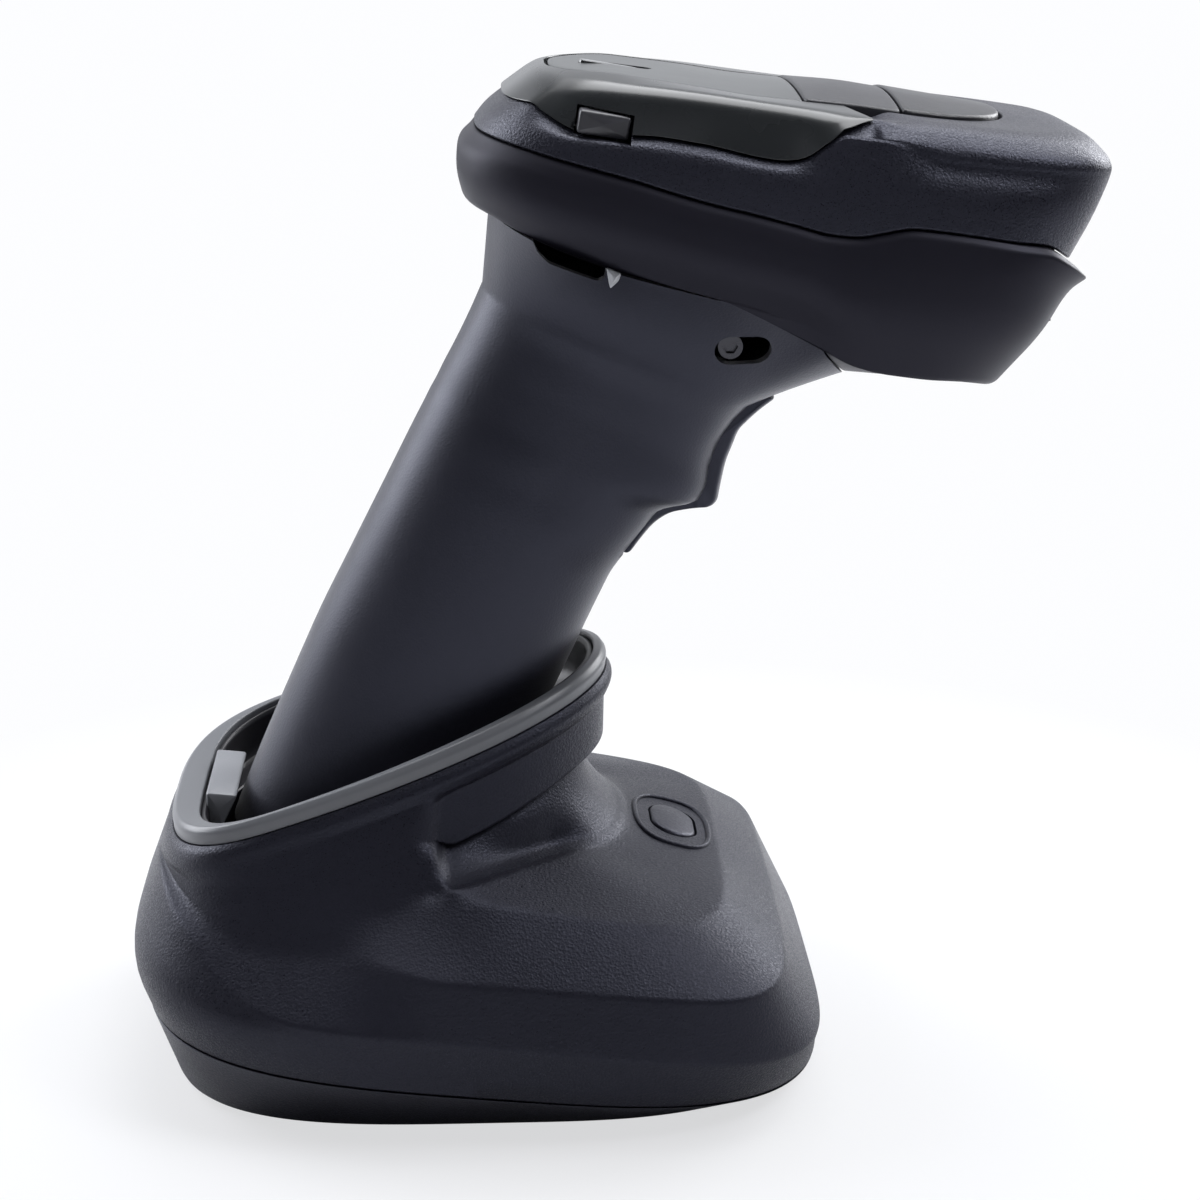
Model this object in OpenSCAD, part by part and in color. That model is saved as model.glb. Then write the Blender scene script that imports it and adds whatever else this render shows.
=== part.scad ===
// Cordless pistol-grip code reader standing in its charging cradle.
// Millimetres. +X is the reading direction, +Y is to the left, +Z is up.
// The origin is the middle of the whole object's box, on the table.

/* [Handle] */
// Lean of the handle from vertical, in degrees
lean = 24; // [23:0.5:25]
// Half width of the grip
grip_hw = 17; // [16:0.25:17.5]
// Wall of the grip and head covers
wall = 2.2; // [1.8:0.1:2.6]
// Gap between fixed covers
gap = 0.2; // [0.1:0.05:0.3]

/* [Head] */
// Front end of the head at the lower lip
head_front = 95.2; // [94.5:0.1:96]
// Half width of the head at mid length
head_hw = 30.5; // [29:0.5:32]
// Half width of the window opening
window_hw = 19; // [17:0.5:20]
// Thickness of the window pane
pane_t = 1.5; // [1:0.1:2]

/* [Trigger] */
// Width of the trigger
trigger_w = 16.4; // [14:0.2:16.6]
// Radius of the trigger's pivot pin
pivot_r = 1.5; // [1.2:0.1:1.8]
// Radial running clearance on the pivot pin
pivot_fit = 0.05; // [0.02:0.01:0.1]

/* [Cradle] */
// Front end of the cradle's skirt
skirt_front = 56.5; // [55.5:0.5:58]
// Half width of the cradle's skirt
skirt_hw = 48; // [47:0.5:49]
// Wall of the cradle covers
cwall = 2.4; // [2:0.1:2.8]
// Half width of the ring around the cup, at its widest
ring_hw = 29.5; // [29:0.25:30.5]
// Clearance between the handle and the cup
cup_gap = 1.1; // [0.8:0.1:1.3]
// Height of the rubber feet
foot_h = 0.8; // [0.6:0.1:1]

/* [Charging] */
// Radius of a charging pin
pin_r = 0.75; // [0.6:0.05:0.8]
// Distance between charging pins
pin_pitch = 4; // [3.6:0.1:4.4]

/* [Hidden] */
loop_points = 48;             // points round a cover
ANGLES = [for (i = [0:loop_points-1]) i*360/loop_points];
axis_x = -10;                 // a point on the handle's axis
axis_z = 64.7;
skirt_len = 116;
nose_over = 2;                // the nose stands this far ahead of the lower lip
middle_x = (skirt_front-skirt_len+head_front+nose_over)/2;

// ---------- plain functions; t is always an angle round a loop, 0 at the front ----------
function smooth(from, to, x) = let (u = max(0, min(1, (x-from)/(to-from)))) u*u*(3-2*u);
function mix(a, b, w) = a + (b-a)*w;
function off_front(t) = t > 180 ? 360-t : t;
function reversed(list) = [for (i = [len(list)-1:-1:0]) list[i]];

// An oval is a superellipse: [front x, rear x, half width, centre x, front power, rear power]
function reach(oval, ahead) = ahead ? oval[0]-oval[3] : oval[3]-oval[1];
function power(oval, ahead) = ahead ? oval[4] : oval[5];
function shrink(oval, inset) =
  [oval[0]-inset, oval[1]+inset, oval[2]-inset, oval[3], oval[4], oval[5]];
function oval_point(oval, t) =
  let (c = cos(t), s = sin(t), n = power(oval, c >= 0),
    k = pow(pow(abs(c), n) + pow(abs(s), n), -1/n))
  [oval[3]+reach(oval, c >= 0)*k*c, oval[2]*k*s];
function inside(oval, x, y) = let (ahead = x >= oval[3], n = power(oval, ahead))
  pow(abs(x-oval[3])/reach(oval, ahead), n) + pow(abs(y)/oval[2], n) < 1;

// Length of the ray from (ray_x, 0) at angle t to the oval, found by halving
ray_x = -12;
function ray(oval, t, lo = 0, hi = 110, steps = 16) =
  let (m = (lo+hi)/2)
  steps == 0 ? m
  : inside(oval, ray_x+m*cos(t), m*sin(t)) ? ray(oval, t, m, hi, steps-1)
  : ray(oval, t, lo, m, steps-1);

// ---------- skins ----------
function centroid(loop) = [for (k = [0:2]) [for (p = loop) p[k]]*[for (p = loop) 1]/len(loop)];
// triangles between loops of n points; from point `outer` on, the diagonal runs the other way
function side_faces(loops, spans, n, outer) = [for (j = [0:spans-1], i = [0:n-1])
  let (next = (i+1)%n, above = ((j+1)%loops)*n, a = j*n+i, b = j*n+next, c = above+next, d = above+i)
  each (i < outer ? [[a, c, b], [a, d, c]] : [[a, d, b], [b, d, c]])];

// closed solid through a stack of closed loops; wrap joins the last loop to the first
module skin(loops, wrap = false) {
  m = len(loops);
  n = len(loops[0]);
  points = [for (loop = loops) each loop];
  last = (m-1)*n;
  ends = wrap ? [] : concat(
    [for (i = [0:n-1]) [i, (i+1)%n, m*n]],
    [for (i = [0:n-1]) [last+(i+1)%n, last+i, m*n+1]]);
  polyhedron(wrap ? points : concat(points, [centroid(loops[0]), centroid(loops[m-1])]),
    concat(side_faces(m, wrap ? m : m-1, n, n), ends), convexity = 8);
}

// the same for C-shaped loops: the outer points, then the inner points back again
function c_loop(outer, inner) = concat(outer, reversed(inner));
module c_skin(loops) {
  m = len(loops);
  n = len(loops[0]);
  b = (m-1)*n;
  first = [for (i = [0:n/2-2]) each [[i, i+1, n-2-i], [i, n-2-i, n-1-i]]];
  last = [for (i = [0:n/2-2]) each [[b+i, b+n-2-i, b+i+1], [b+i, b+n-1-i, b+n-2-i]]];
  polyhedron([for (loop = loops) each loop],
    concat(side_faces(m, m-1, n, n/2), first, last), convexity = 8);
}

// ---------- shared shapes and frames ----------
// handle frame: local z along the handle's axis, local x to the handle's front
module handle_frame() { translate([axis_x, 0, axis_z]) rotate([0, lean, 0]) children(); }
// local z points forward
module forward(place) { translate(place) rotate([0, 90, 0]) children(); }
// sloped like the head's roof
roof_tilt = 9.5;
module sloped(place) { translate(place) rotate([0, roof_tilt, 0]) children(); }
module at_pins() { for (i = [-1.5:1:1.5]) translate([i*pin_pitch, 0, 0]) children(); }
// profile [x, z] pulled out along y
module profile(points, width) {
  rotate([90, 0, 0]) linear_extrude(height = width, center = true) polygon(points);
}
// box standing on its origin, centred in x and y
module box(size) { translate([-size.x/2, -size.y/2, 0]) cube(size); }
module rounded_plate(size, r) {
  linear_extrude(height = size.z) hull()
    for (i = [-1, 1], j = [-1, 1]) translate([i*(size.x/2-r), j*(size.y/2-r)]) circle(r, $fn = 24);
}
// round-ended plate, long in y
module pill(width, length, height) {
  linear_extrude(height = height) hull()
    for (j = [-1, 1]) translate([0, j*(length-width)/2]) circle(width/2, $fn = 32);
}
// upright rod starting at height z
module rod(r, h, z = 0, fn = 32) { translate([0, 0, z]) cylinder(r = r, h = h, $fn = fn); }
module screw_body(head_r, head_h, shank_r, length) {
  rod(head_r, head_h, fn = 40);
  rod(shank_r, length);
}
module hex_screw(head_r, head_h, shank_r, length, hex_r, hex_depth) {
  difference() {
    screw_body(head_r, head_h, shank_r, length);
    rod(hex_r, hex_depth+0.5, -0.5, 6);
  }
}
// a spring drawn as separate rings
module spring_rings(count, first, pitch, ring_r, wire_r, fn) {
  for (k = [0:count-1]) translate([0, 0, first+k*pitch])
    rotate_extrude($fn = fn) translate([ring_r, 0]) circle(wire_r, $fn = 16);
}

// ---------- cradle level curves ----------
// height runs from z_rear to z_front along the oval; the curve is then moved in and up
function level_point(oval, z_front, z_rear, t, inset = 0, dz = 0) =
  let (q = ray(oval, t), along = (ray_x+q*cos(t)-oval[1])/(oval[0]-oval[1]))
  [ray_x+(q-inset)*cos(t), (q-inset)*sin(t), mix(z_rear, z_front, along) + dz];
function level(oval, z_front, z_rear) =
  [for (t = ANGLES) level_point(oval, z_front, z_rear, t)];
function inward(loop, inset, dz = 0) = [for (p = loop)
  let (q = norm([p.x-ray_x, p.y])) [ray_x+(p.x-ray_x)*(q-inset)/q, p.y*(q-inset)/q, p.z+dz]];

RING_OVAL = [19.4, -52.8, ring_hw, -32, 1.9, 2.9];
FOOT_OVAL = [skirt_front-8.5, -54, skirt_hw-8.3, 0, 3.3, 3.3];
ring_w = 2.6;                 // width of the ring at the front
function ring_point(t, inset, dz) = level_point(RING_OVAL, 67, 45.4, t, inset, dz);
function ring_loop(inset, dz) = [for (t = ANGLES) ring_point(t, inset, dz)];
// the ring is wider at the back
function ring_inner(extra, dz) =
  [for (t = ANGLES) ring_point(t, ring_w+extra+2.8*smooth(128, 170, off_front(t)), dz)];

foot_loop = level(FOOT_OVAL, foot_h, foot_h);
floor_loop = level(FOOT_OVAL, foot_h+1.8, foot_h+1.8);
seam_loop = level([skirt_front-0.9, -58, skirt_hw-0.9, 1, 2.9, 3.3], 3.4, 15.4);
skirt_loop = level([skirt_front, -59.5, skirt_hw, 1, 3, 3.3], 8, 24);
neck_low = [for (t = ANGLES) let (h = off_front(t))
  ring_point(t, mix(0.2, -3, smooth(20, 130, h)), mix(-11, -11.5, smooth(0, 90, h)))];
neck_high = [for (t = ANGLES) ring_point(t, mix(0, -1.6, smooth(40, 150, off_front(t))), -6)];

// The rear and side wall runs straight from the skirt to the neck; the front follows the ovals.
// [oval, front height, rear height, share of the way up the straight wall,
//  angles between which the oval gives way to the straight wall]
WALL_LEVELS = [
  [[skirt_front-3, -56.6, skirt_hw-1.5, 1, 3.4, 3], 11, 27, 0.22, 120, 160],
  [[48, -53, skirt_hw-4.5, 1, 4.1, 3], 26, 33, 0.42, 95, 135],
  [[38, -50, 33, 1, 3.2, 3], 32, 39, 0.58, 75, 120],
  [[24, -48, 26, -10, 2.4, 3], 37.5, 42, 0.7, 65, 115],
  [[17, -48, 24.5, -14, 2.4, 3], 46.5, 42, 0.8, 65, 110]];
OUTER = concat([skirt_loop],
  [for (w = WALL_LEVELS) [for (i = [0:loop_points-1]) mix(
    level_point(w[0], w[1], w[2], ANGLES[i]),
    mix(skirt_loop[i], neck_high[i], w[3]),
    smooth(w[4], w[5], off_front(ANGLES[i])))]],
  [neck_low, neck_high]);
// inner face against each outer loop: [inset, rise]
INNER = [[cwall, -0.6], [cwall+0.2, -1], [cwall+0.4, -cwall+0.6], [cwall, -cwall],
  [cwall, -1.6], [cwall, -0.4], [cwall, -0.6], [cwall-0.2, -2]];

// ---------- cradle ----------
screw_spots = [[38, 27], [38, -27], [-42, 24], [-42, -24]];
page_w = 8;                   // page button across and along
page_len = 12;
board_z = 5.8;
board_t = 1.2;
on_board = board_z+board_t+0.05;
socket_w = 12.4;
module page_frame() { translate([31, 0, 34.9]) rotate([0, 20, 0]) children(); }

module cradle_shell() color([0.09, 0.09, 0.11]) difference() {
  skin(concat(
    [[for (p = seam_loop) p+[0, 0, gap]]],
    OUTER,
    [ring_loop(0, -3), ring_inner(0, -3), ring_inner(0, -4.8)],
    [for (i = [len(OUTER)-1:-1:0]) inward(OUTER[i], INNER[i][0], INNER[i][1])],
    [inward(seam_loop, cwall, gap)]), wrap = true);
  page_frame() translate([0, 0, -9]) pill(page_w+0.4, page_len+0.4, 16);
}
module cradle_base_plate() color([0.08, 0.08, 0.09]) difference() {
  skin([inward(foot_loop, 4), foot_loop, seam_loop, inward(seam_loop, cwall),
    inward(floor_loop, cwall-0.6), inward(floor_loop, 6)]);
  for (p = screw_spots) translate([p.x, p.y, 0]) {
    rod(1.7, 6);
    rod(3, foot_h+1.6, -1);
  }
  // clearance for the data socket
  translate([-60, -socket_w/2-0.4, 6.4]) cube([16, socket_w+0.8, 5.2]);
}
module ring_bezel() color([0.42, 0.43, 0.45])
  skin([ring_loop(0.3, -2.9), ring_loop(0.5, -0.5), ring_loop(1.0, 0),
    ring_inner(-0.05, 0.3), ring_inner(0, -2.9)], wrap = true);
module rear_rest_pad() color([0.66, 0.67, 0.69])
  profile([[-45.3, 47.2], [-45.5, 41.2], [-44.3, 41.2], [-41.8, 46.8]], 20);
module cradle_circuit_board() color([0.05, 0.25, 0.12]) translate([0, 0, board_z]) difference() {
  translate([-2, 0, 0]) rounded_plate([84, 44, board_t], 4);
  for (x = [-34, 32], y = [-17, 17]) translate([x, y, 0]) rod(1.6, 4, -1, 24);
}
module ballast_plate() color([0.5, 0.5, 0.52]) translate([0, 0, foot_h+1.85]) difference() {
  translate([2, 0, 0]) rounded_plate([74, 62, 2.6], 8);
  for (p = screw_spots) translate([p.x, p.y, 0]) rod(4, 6, -1);
}
module rubber_feet() color([0.05, 0.05, 0.05])
  for (x = [-31, 29], y = [-27, 27]) translate([x, y, 0]) {
    cylinder(r1 = 4.6, r2 = 5, h = foot_h/2, $fn = 40);
    rod(5, foot_h/2, foot_h/2, 40);
  }
module base_screws() color([0.6, 0.6, 0.62])
  for (p = screw_spots) translate([p.x, p.y, foot_h+0.02]) difference() {
    screw_body(2.7, 0.55, 1.4, 8);
    for (a = [0, 90]) rotate([0, 0, a]) translate([0, 0, -0.5]) box([3, 0.6, 0.85]);
  }
module data_socket() color([0.2, 0.2, 0.21]) difference() {
  translate([-54.9, -socket_w/2, on_board]) cube([14.5, socket_w, 4.1]);
  translate([-60, -socket_w/2+1, on_board+0.85]) cube([14, socket_w-2, 2.4]);
}
module page_switch() color([0.15, 0.15, 0.16]) translate([23, 0, on_board]) {
  box([6, 6, 3.4]);
  rod(1.7, 0.8, 3.4);
}
// round-ended cap on the sloping deck, with a stem down towards the switch
module page_button() color([0.12, 0.12, 0.13]) page_frame() {
  translate([0, 0, -1.9]) pill(page_w, page_len, 2.6);
  rod(1.5, 21.6, -23.4);
}

// ---------- charging contacts ----------
module contact_block() color([0.12, 0.12, 0.12]) handle_frame() difference() {
  translate([0, 0, -52]) box([18, 5.8, 7.2]);
  at_pins() rod(pin_r+0.05, 20, -50.5);
}
module charge_pins() color([0.85, 0.68, 0.3]) handle_frame() at_pins() {
  rod(pin_r, 5.6, -48.2);
  translate([0, 0, -42.6]) cylinder(r1 = pin_r, r2 = 0.4, h = 0.45, $fn = 32);
}
module pin_springs() color([0.75, 0.75, 0.78]) handle_frame() at_pins()
  translate([0, 0, -50.4]) spring_rings(4, 0.15, 0.5, 0.5, 0.14, 32);

// ---------- handle sections ----------
// [distance along the axis, rear edge, front edge, half width, power of the front]
HANDLE = [
  [-42, -19, 19, grip_hw-1.5, 2.2], [-37.5, -20.2, 20, grip_hw-0.6, 2.2],
  [-20, -20.7, 20.4, grip_hw-0.2, 2.2], [0, -20.6, 20.4, grip_hw, 2.2],
  [15, -19.9, 20.6, grip_hw+0.2, 2.2], [28, -19.2, 20.8, grip_hw+0.2, 2.3],
  [34, -18.9, 21.6, grip_hw+0.2, 2.7], [39.5, -18.6, 22.6, grip_hw, 3.1],
  [42.5, -18.4, 23.1, grip_hw, 3.2], [44.6, -18.3, 24.8, grip_hw, 3.3],
  [46.7, -18.1, 27.4, grip_hw, 3.3], [49, -18, 27.6, grip_hw, 3.2],
  [53, -17.7, 26.6, grip_hw, 3.1], [56.6, -17.5, 26.4, grip_hw+0.2, 3.1],
  [60.5, -17.4, 27.2, grip_hw+0.5, 3], [64, -17.4, 28.9, grip_hw+1.5, 3]];
handle_top = 64;
rear_power = 2.2;
// point of the handle frame: along the axis, ahead of it, to the left
function from_handle(along, ahead, y) =
  [axis_x+along*sin(lean)+ahead*cos(lean), y, axis_z+along*cos(lean)-ahead*sin(lean)];
function handle_size(along, column) = lookup(along, [for (row = HANDLE) [row[0], row[column]]]);
function handle_point(along, t, inset = 0) =
  let (rear = handle_size(along, 1), front = handle_size(along, 2), half_len = (front-rear)/2,
    oval = [half_len, -half_len, handle_size(along, 3), 0, handle_size(along, 4), rear_power],
    p = oval_point(shrink(oval, inset), t))
  from_handle(along, p.x+(front+rear)/2, p.y);
function handle_loop(along, inset = 0, angles = ANGLES) =
  [for (t = angles) handle_point(along, t, inset)];

// Cup: about the handle's section, a little larger, straight along the axis
cup_wall = 1.5;
cup_bottom = -43;
function cup_point(t, out) =
  oval_point(shrink([20.8, -20.9, grip_hw+0.2, 0, 2.2, rear_power], -out), t);
function cup_loop(along, out) =
  [for (t = ANGLES) let (p = cup_point(t, out)) from_handle(along, p.x, p.y)];
// the same cut by a slope that rises to the front
function cup_slope(out, shift) = [for (t = ANGLES) let (p = cup_point(t, out))
  from_handle(-8.06+0.863*p.x+shift, p.x, p.y)];
module cup_liner() color([0.07, 0.07, 0.08]) difference() {
  skin([
    cup_loop(-44.6, cup_gap-3), cup_loop(-44.2, cup_gap+cup_wall-1),
    cup_loop(cup_bottom, cup_gap+cup_wall), cup_slope(cup_gap+cup_wall, -12.4),
    ring_inner(0.25, -9.6), ring_inner(0.15, -0.6), ring_inner(0.8, -0.4),
    ring_inner(1.2, -1), ring_inner(1.4, -7.6), cup_slope(cup_gap, -10),
    cup_loop(cup_bottom, cup_gap-0.2), cup_loop(cup_bottom, cup_gap-4)]);
  // opening for the contact block
  handle_frame() translate([0, 0, -50]) box([20, 6.4, 10]);
}

// ---------- head surfaces ----------
// heights along the head, [x, z]: underside, seam between bumper and shell, shoulder
BELLY = [[-4, 144.8], [0.6, 143.8], [2.8, 143.0], [8.7, 140.6], [19.7, 136.8], [32.4, 133.3],
  [47.4, 129.3], [50, 128], [54, 124.3], [57, 122.8], [62.7, 121.5], [70.4, 120.8],
  [76, 120.8], [90, 121.5]];
SEAM = [[-4, 156.2], [0, 155.6], [6.1, 154.3], [11.9, 152.9], [17.8, 151.5], [23.6, 150],
  [29.5, 148.2], [35.4, 146.6], [41.3, 145.2], [47.3, 143.6], [51.8, 142.4], [56.2, 142],
  [60, 142.6], [64, 143.2], [68.1, 142.8], [74.1, 141.9], [80.1, 140.8], [85, 139.9],
  [89.4, 137.1], [93.3, 134], [97, 132.6]];
SHOULDER = [[4, 160.6], [14, 160.2], [30, 159.8], [57, 156.8], [70, 155], [88, 153],
  [93, 152], [98, 150.2]];
// lower edge of the side gloss cover, [x, z]
GLOSS_EDGE = [[4, 160.4], [8.9, 159.4], [15.5, 156.4], [25, 156.4], [32.4, 155.4],
  [45.8, 152.9], [48.1, 153.3], [51.7, 155.6], [57, 158.4], [62, 158.9]];
// ovals, from below upwards
NECK = [57.6, 1.4, 25.6, 28, 3, 3];
BUMPER_BELLY = [81.5, -0.6, head_hw-3.4, 42, 4.5, 3];
BUMPER_LOW = [89, -2.6, head_hw, 45, 5, 3.2];
BUMPER_HIGH = [92.8, -2.3, head_hw-0.1, 45, 5, 3.2];
BUMPER_LIP = [head_front, -1.4, head_hw-0.9, 45, 5, 3.2];
SHELL_LIP = [92.3, -0.8, head_hw-1.2, 45, 5, 3.2];
SHELL_LOW = [95.4, 1.4, head_hw-2, 45, 5, 3.2];
SHELL_STEP = [97.2, 4.6, head_hw-3.6, 45, 5, 3.2];
SHELL_CREST = [96.4, 6.6, head_hw-6.4, 45, 4.5, 3.2];
ROOF = [82, 9, 17.2, 45, 3, 3.2];

function z_belly(x, y) =
  lookup(x, BELLY) - 6.2*max(0, 1-pow(y/31, 2))*smooth(42, 60, x);
function z_roof(x, y) = 168.3-0.172*x-1.5*(1-smooth(8, 22, x))
  + 2.4*smooth(46, 70, x)*max(0, 1-pow(y/24, 2));
// head ovals are a little wider to the front
function head_point(oval, t, inset = 0) =
  let (p = oval_point(shrink(oval, inset), t)) [p.x, p.y*(1+0.0018*(p.x-45))];
function head_loop(oval, inset) = [for (t = ANGLES) head_point(oval, t, inset)];
function belly_loop(oval, inset, dz) =
  [for (p = head_loop(oval, inset)) [p.x, p.y, z_belly(p.x, p.y)+dz]];
// w runs from 0 at the belly to 1 at the seam
function flank_loop(oval, inset, w) = [for (p = head_loop(oval, inset))
  let (low = z_belly(p.x-mix(13, 0, w)*smooth(70, 97, p.x), p.y))
  [p.x, p.y, mix(low, lookup(p.x, SEAM), w)]];
// w runs from 0 at the seam to 1 at the shoulder
function shoulder_loop(oval, inset, w, dz = 0) = [for (p = head_loop(oval, inset))
  [p.x, p.y, mix(lookup(p.x, SEAM), lookup(p.x, SHOULDER), w)+dz]];
function crest_point(t, inset, dz) = let (p = head_point(SHELL_CREST, t, inset),
    rise = mix(mix(3.4, 2.0, smooth(15, 60, p.x)), 1.8, smooth(60, 95, p.x)))
  [p.x, p.y, lookup(p.x, SHOULDER)+rise+dz];
function roof_point(t, inset, dz) =
  let (p = head_point(ROOF, t, inset)) [p.x, p.y, z_roof(p.x, p.y)+dz];
function roof_loop(inset, dz) = [for (t = ANGLES) roof_point(t, inset, dz)];
// where the grip meets the head
function neck_point(t, inset, dz) =
  let (p = oval_point(shrink(NECK, inset), t)) [p.x, p.y, z_belly(p.x, p.y)-2*gap+dz];
function neck_loop(inset, dz) = [for (t = ANGLES) neck_point(t, inset, dz)];

// The gloss cover lies in a step of the shell that runs out towards the nose.
function step_depth(x) = mix(1.5, 0.05, smooth(58, 66, x));
function step_edge(t, dz) = let (p = head_point(SHELL_STEP, t))
  [p.x, p.y, min(lookup(p.x, GLOSS_EDGE), lookup(p.x, SHOULDER)-0.6)+dz];
// floor of the step at its edge, crest and roof; `less` makes it shallower
function edge_floor(t, less, dz) =
  let (p = step_edge(t, dz), q = head_point(SHELL_STEP, t, step_depth(p.x)-less)) [q.x, q.y, p.z];
function crest_floor(t, less, drop, dz) =
  let (d = step_depth(head_point(SHELL_CREST, t).x)) crest_point(t, d-less, -drop*d+dz);
function roof_floor(t, inset, rear, front, x_from, x_to) =
  roof_point(t, inset, -mix(rear, front, smooth(x_from, x_to, head_point(ROOF, t).x)));

// ---------- head covers ----------
window_z = 127;
window_h = 20;
module window_box(x, depth, inset, extra_h = 0) {
  translate([x, -window_hw+inset, window_z+inset])
    cube([depth, 2*(window_hw-inset), window_h-2*inset+extra_h]);
}
button = [7.8, 4.6, 3.5];
module side_frame(y) { sloped([18.5, y, 158.1]) children(); }
// openings for the side buttons
module side_openings(clear) {
  for (s = [-1, 1]) side_frame(s*21.1) translate([0, 0, -button.z/2-clear])
    box([button.x+2*clear, 10, button.z+2*clear]);
}
module head_bumper() color([0.10, 0.10, 0.115]) difference() {
  skin([
    neck_loop(wall+0.8, 2*gap), neck_loop(wall, 2*gap), neck_loop(0, 2*gap),
    neck_loop(-0.3, 2*gap), belly_loop(BUMPER_BELLY, 0, 0), flank_loop(BUMPER_LOW, 0, 0.38),
    flank_loop(BUMPER_HIGH, 0, 0.75), flank_loop(BUMPER_LIP, 0, 1),
    flank_loop(BUMPER_LIP, wall, 1), flank_loop(BUMPER_HIGH, wall+0.4, 0.75),
    flank_loop(BUMPER_LOW, wall+0.6, 0.45), belly_loop(BUMPER_BELLY, 3, wall+0.6),
    neck_loop(wall+0.8, 2*gap+wall)], wrap = true);
  window_box(81, 25, -0.1, 3.8);
}
module head_upper_shell() color([0.085, 0.085, 0.10]) difference() {
  skin([
    roof_loop(3, -3.8),
    [for (t = ANGLES) crest_point(t, 3.4, -2.6)],
    shoulder_loop(SHELL_STEP, 3.8, 0.9), shoulder_loop(SHELL_LOW, 2.6, 0.5),
    shoulder_loop(SHELL_LIP, wall, 0, gap), shoulder_loop(SHELL_LIP, 0, 0, gap),
    shoulder_loop(SHELL_LOW, 0, 0.5),
    [for (t = ANGLES) step_edge(t, 0)],
    [for (t = ANGLES) edge_floor(t, 0, 0.06)],
    [for (t = ANGLES) crest_floor(t, 0, 0.3, 0)],
    [for (t = ANGLES) roof_floor(t, 0, 1.5, 0.02, 58, 62)],
    roof_loop(0.4, -1.62)]);
  window_box(81, 25, -0.1);
  side_openings(0.35);
}
// wraps the rear and both sides
GLOSS_ANGLES = [for (i = [0:28]) 75+i*7.5];
module side_gloss_cover() color([0.03, 0.035, 0.035]) difference() {
  c_skin([
    c_loop([for (t = GLOSS_ANGLES) step_edge(t, 0.3)],
      [for (t = GLOSS_ANGLES) edge_floor(t, 0.15, 0.3)]),
    c_loop([for (t = GLOSS_ANGLES) crest_point(t, 0, 0)],
      [for (t = GLOSS_ANGLES) crest_floor(t, 0.2, 0.25, 0.15)]),
    c_loop([for (t = GLOSS_ANGLES) roof_point(t, 0.05, 0)],
      [for (t = GLOSS_ANGLES) roof_floor(t, 0.05, 1.3, 0.3, 40, 60)])]);
  side_openings(0.2);
}
// roof piece between two stations along the head; rise is against the roof
module roof_slab(rise, x_from, x_to) {
  intersection() {
    skin([roof_loop(0.6, -1.38), roof_loop(0.15, rise), roof_loop(0.75, rise+0.3)]);
    translate([x_from, -40, 120]) cube([x_to-x_from, 80, 60]);
  }
}
module lamp_slot(r, h, z) {
  sloped([24, 0, 150]) translate([-4, 0, z]) linear_extrude(height = h)
    hull() for (x = [-4.4, 4.4]) translate([x, 0]) circle(r, $fn = 32);
}
module top_plate() color([0.30, 0.31, 0.32]) difference() {
  roof_slab(-0.1, 0, 48.9);
  lamp_slot(1.3, 30, 0);
}
module indicator_lens() color([0.75, 0.85, 0.78]) lamp_slot(1.2, 1.5, 13);
module top_pad() color([0.22, 0.22, 0.24]) roof_slab(0.2, 49.1, 63.9);
module top_insert() color([0.10, 0.10, 0.11]) roof_slab(0.5, 64.1, 90);

// ---------- window and optics ----------
pane_x = 86.5;                // rear face of the pane
optic_x = 74;
optic_z = 136;
aimer_y = 8.6;
aimer_r = 1.3;
module window_bezel() color([0.06, 0.06, 0.07]) difference() {
  window_box(82.5, 5.5, 0);
  window_box(80, 10, 1.6);
  window_box(pane_x, 10, 0.6);
}
module scan_window() color([0.25, 0.05, 0.06, 0.6]) window_box(pane_x, pane_t, 0.65);
module imager_housing() color([0.12, 0.12, 0.13]) difference() {
  translate([58, -12, 128.2]) cube([22, 24, 15.6]);
  // bores, [y, radius]
  for (bore = [[0, 3.7], [aimer_y, aimer_r+0.1], [-aimer_y, aimer_r+0.1]])
    forward([optic_x, bore[0], optic_z]) rod(bore[1], 10, fn = 48);
}
module imager_lens() color([0.2, 0.2, 0.28]) forward([optic_x, 0, optic_z]) {
  rod(3.5, 6.6, fn = 48);
  translate([0, 0, 6.6]) cylinder(r1 = 3, r2 = 1.6, h = 0.7, $fn = 48);
}
module illumination_leds() color([0.9, 0.9, 0.85])
  for (y = [-15.2, 15.2], z = [-3.5, 3.5]) forward([76, y, optic_z+z]) {
    box([4.8, 4.8, 2]);
    rod(1.9, 1, 2);
  }
module aimer_lens() color([0.8, 0.25, 0.2])
  for (s = [-1, 1]) forward([optic_x, s*aimer_y, optic_z]) rod(aimer_r, 6.4);

// ---------- head electronics and side buttons ----------
head_board = [18, 0, 151.6];  // lower rear edge of the sloped board
module main_circuit_board() color([0.05, 0.25, 0.12]) {
  sloped(head_board) translate([0, -17, 0]) cube([40, 34, 1.2]);
  for (s = [-1, 1]) translate([74, s*16-3.5, 128.6]) cube([1.9, 7, 15]);
}
module beeper() color([0.1, 0.1, 0.1])
  sloped(head_board) translate([26, 8, -3.25]) difference() {
    rod(5, 3.2, fn = 48);
    rod(1, 2, -1, 24);
  }
module side_switches() color([0.5, 0.5, 0.52])
  for (s = [-1, 1]) side_frame(s*15.8) translate([0, 0, -4.6]) box([5.2, 2.6, 6.2]);
// key with a small stud on its inner face; side is -1 on the right, 1 on the left
module side_button(side) {
  side_frame(side*21.1) {
    translate([0, 0, -button.z/2]) box(button);
    translate([0, -side*2.7, -0.9]) box([2, 1, 1.8]);
  }
}
module side_button_right() color([0.20, 0.20, 0.22]) side_button(-1);
module side_button_left() color([0.20, 0.20, 0.22]) side_button(1);

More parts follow.
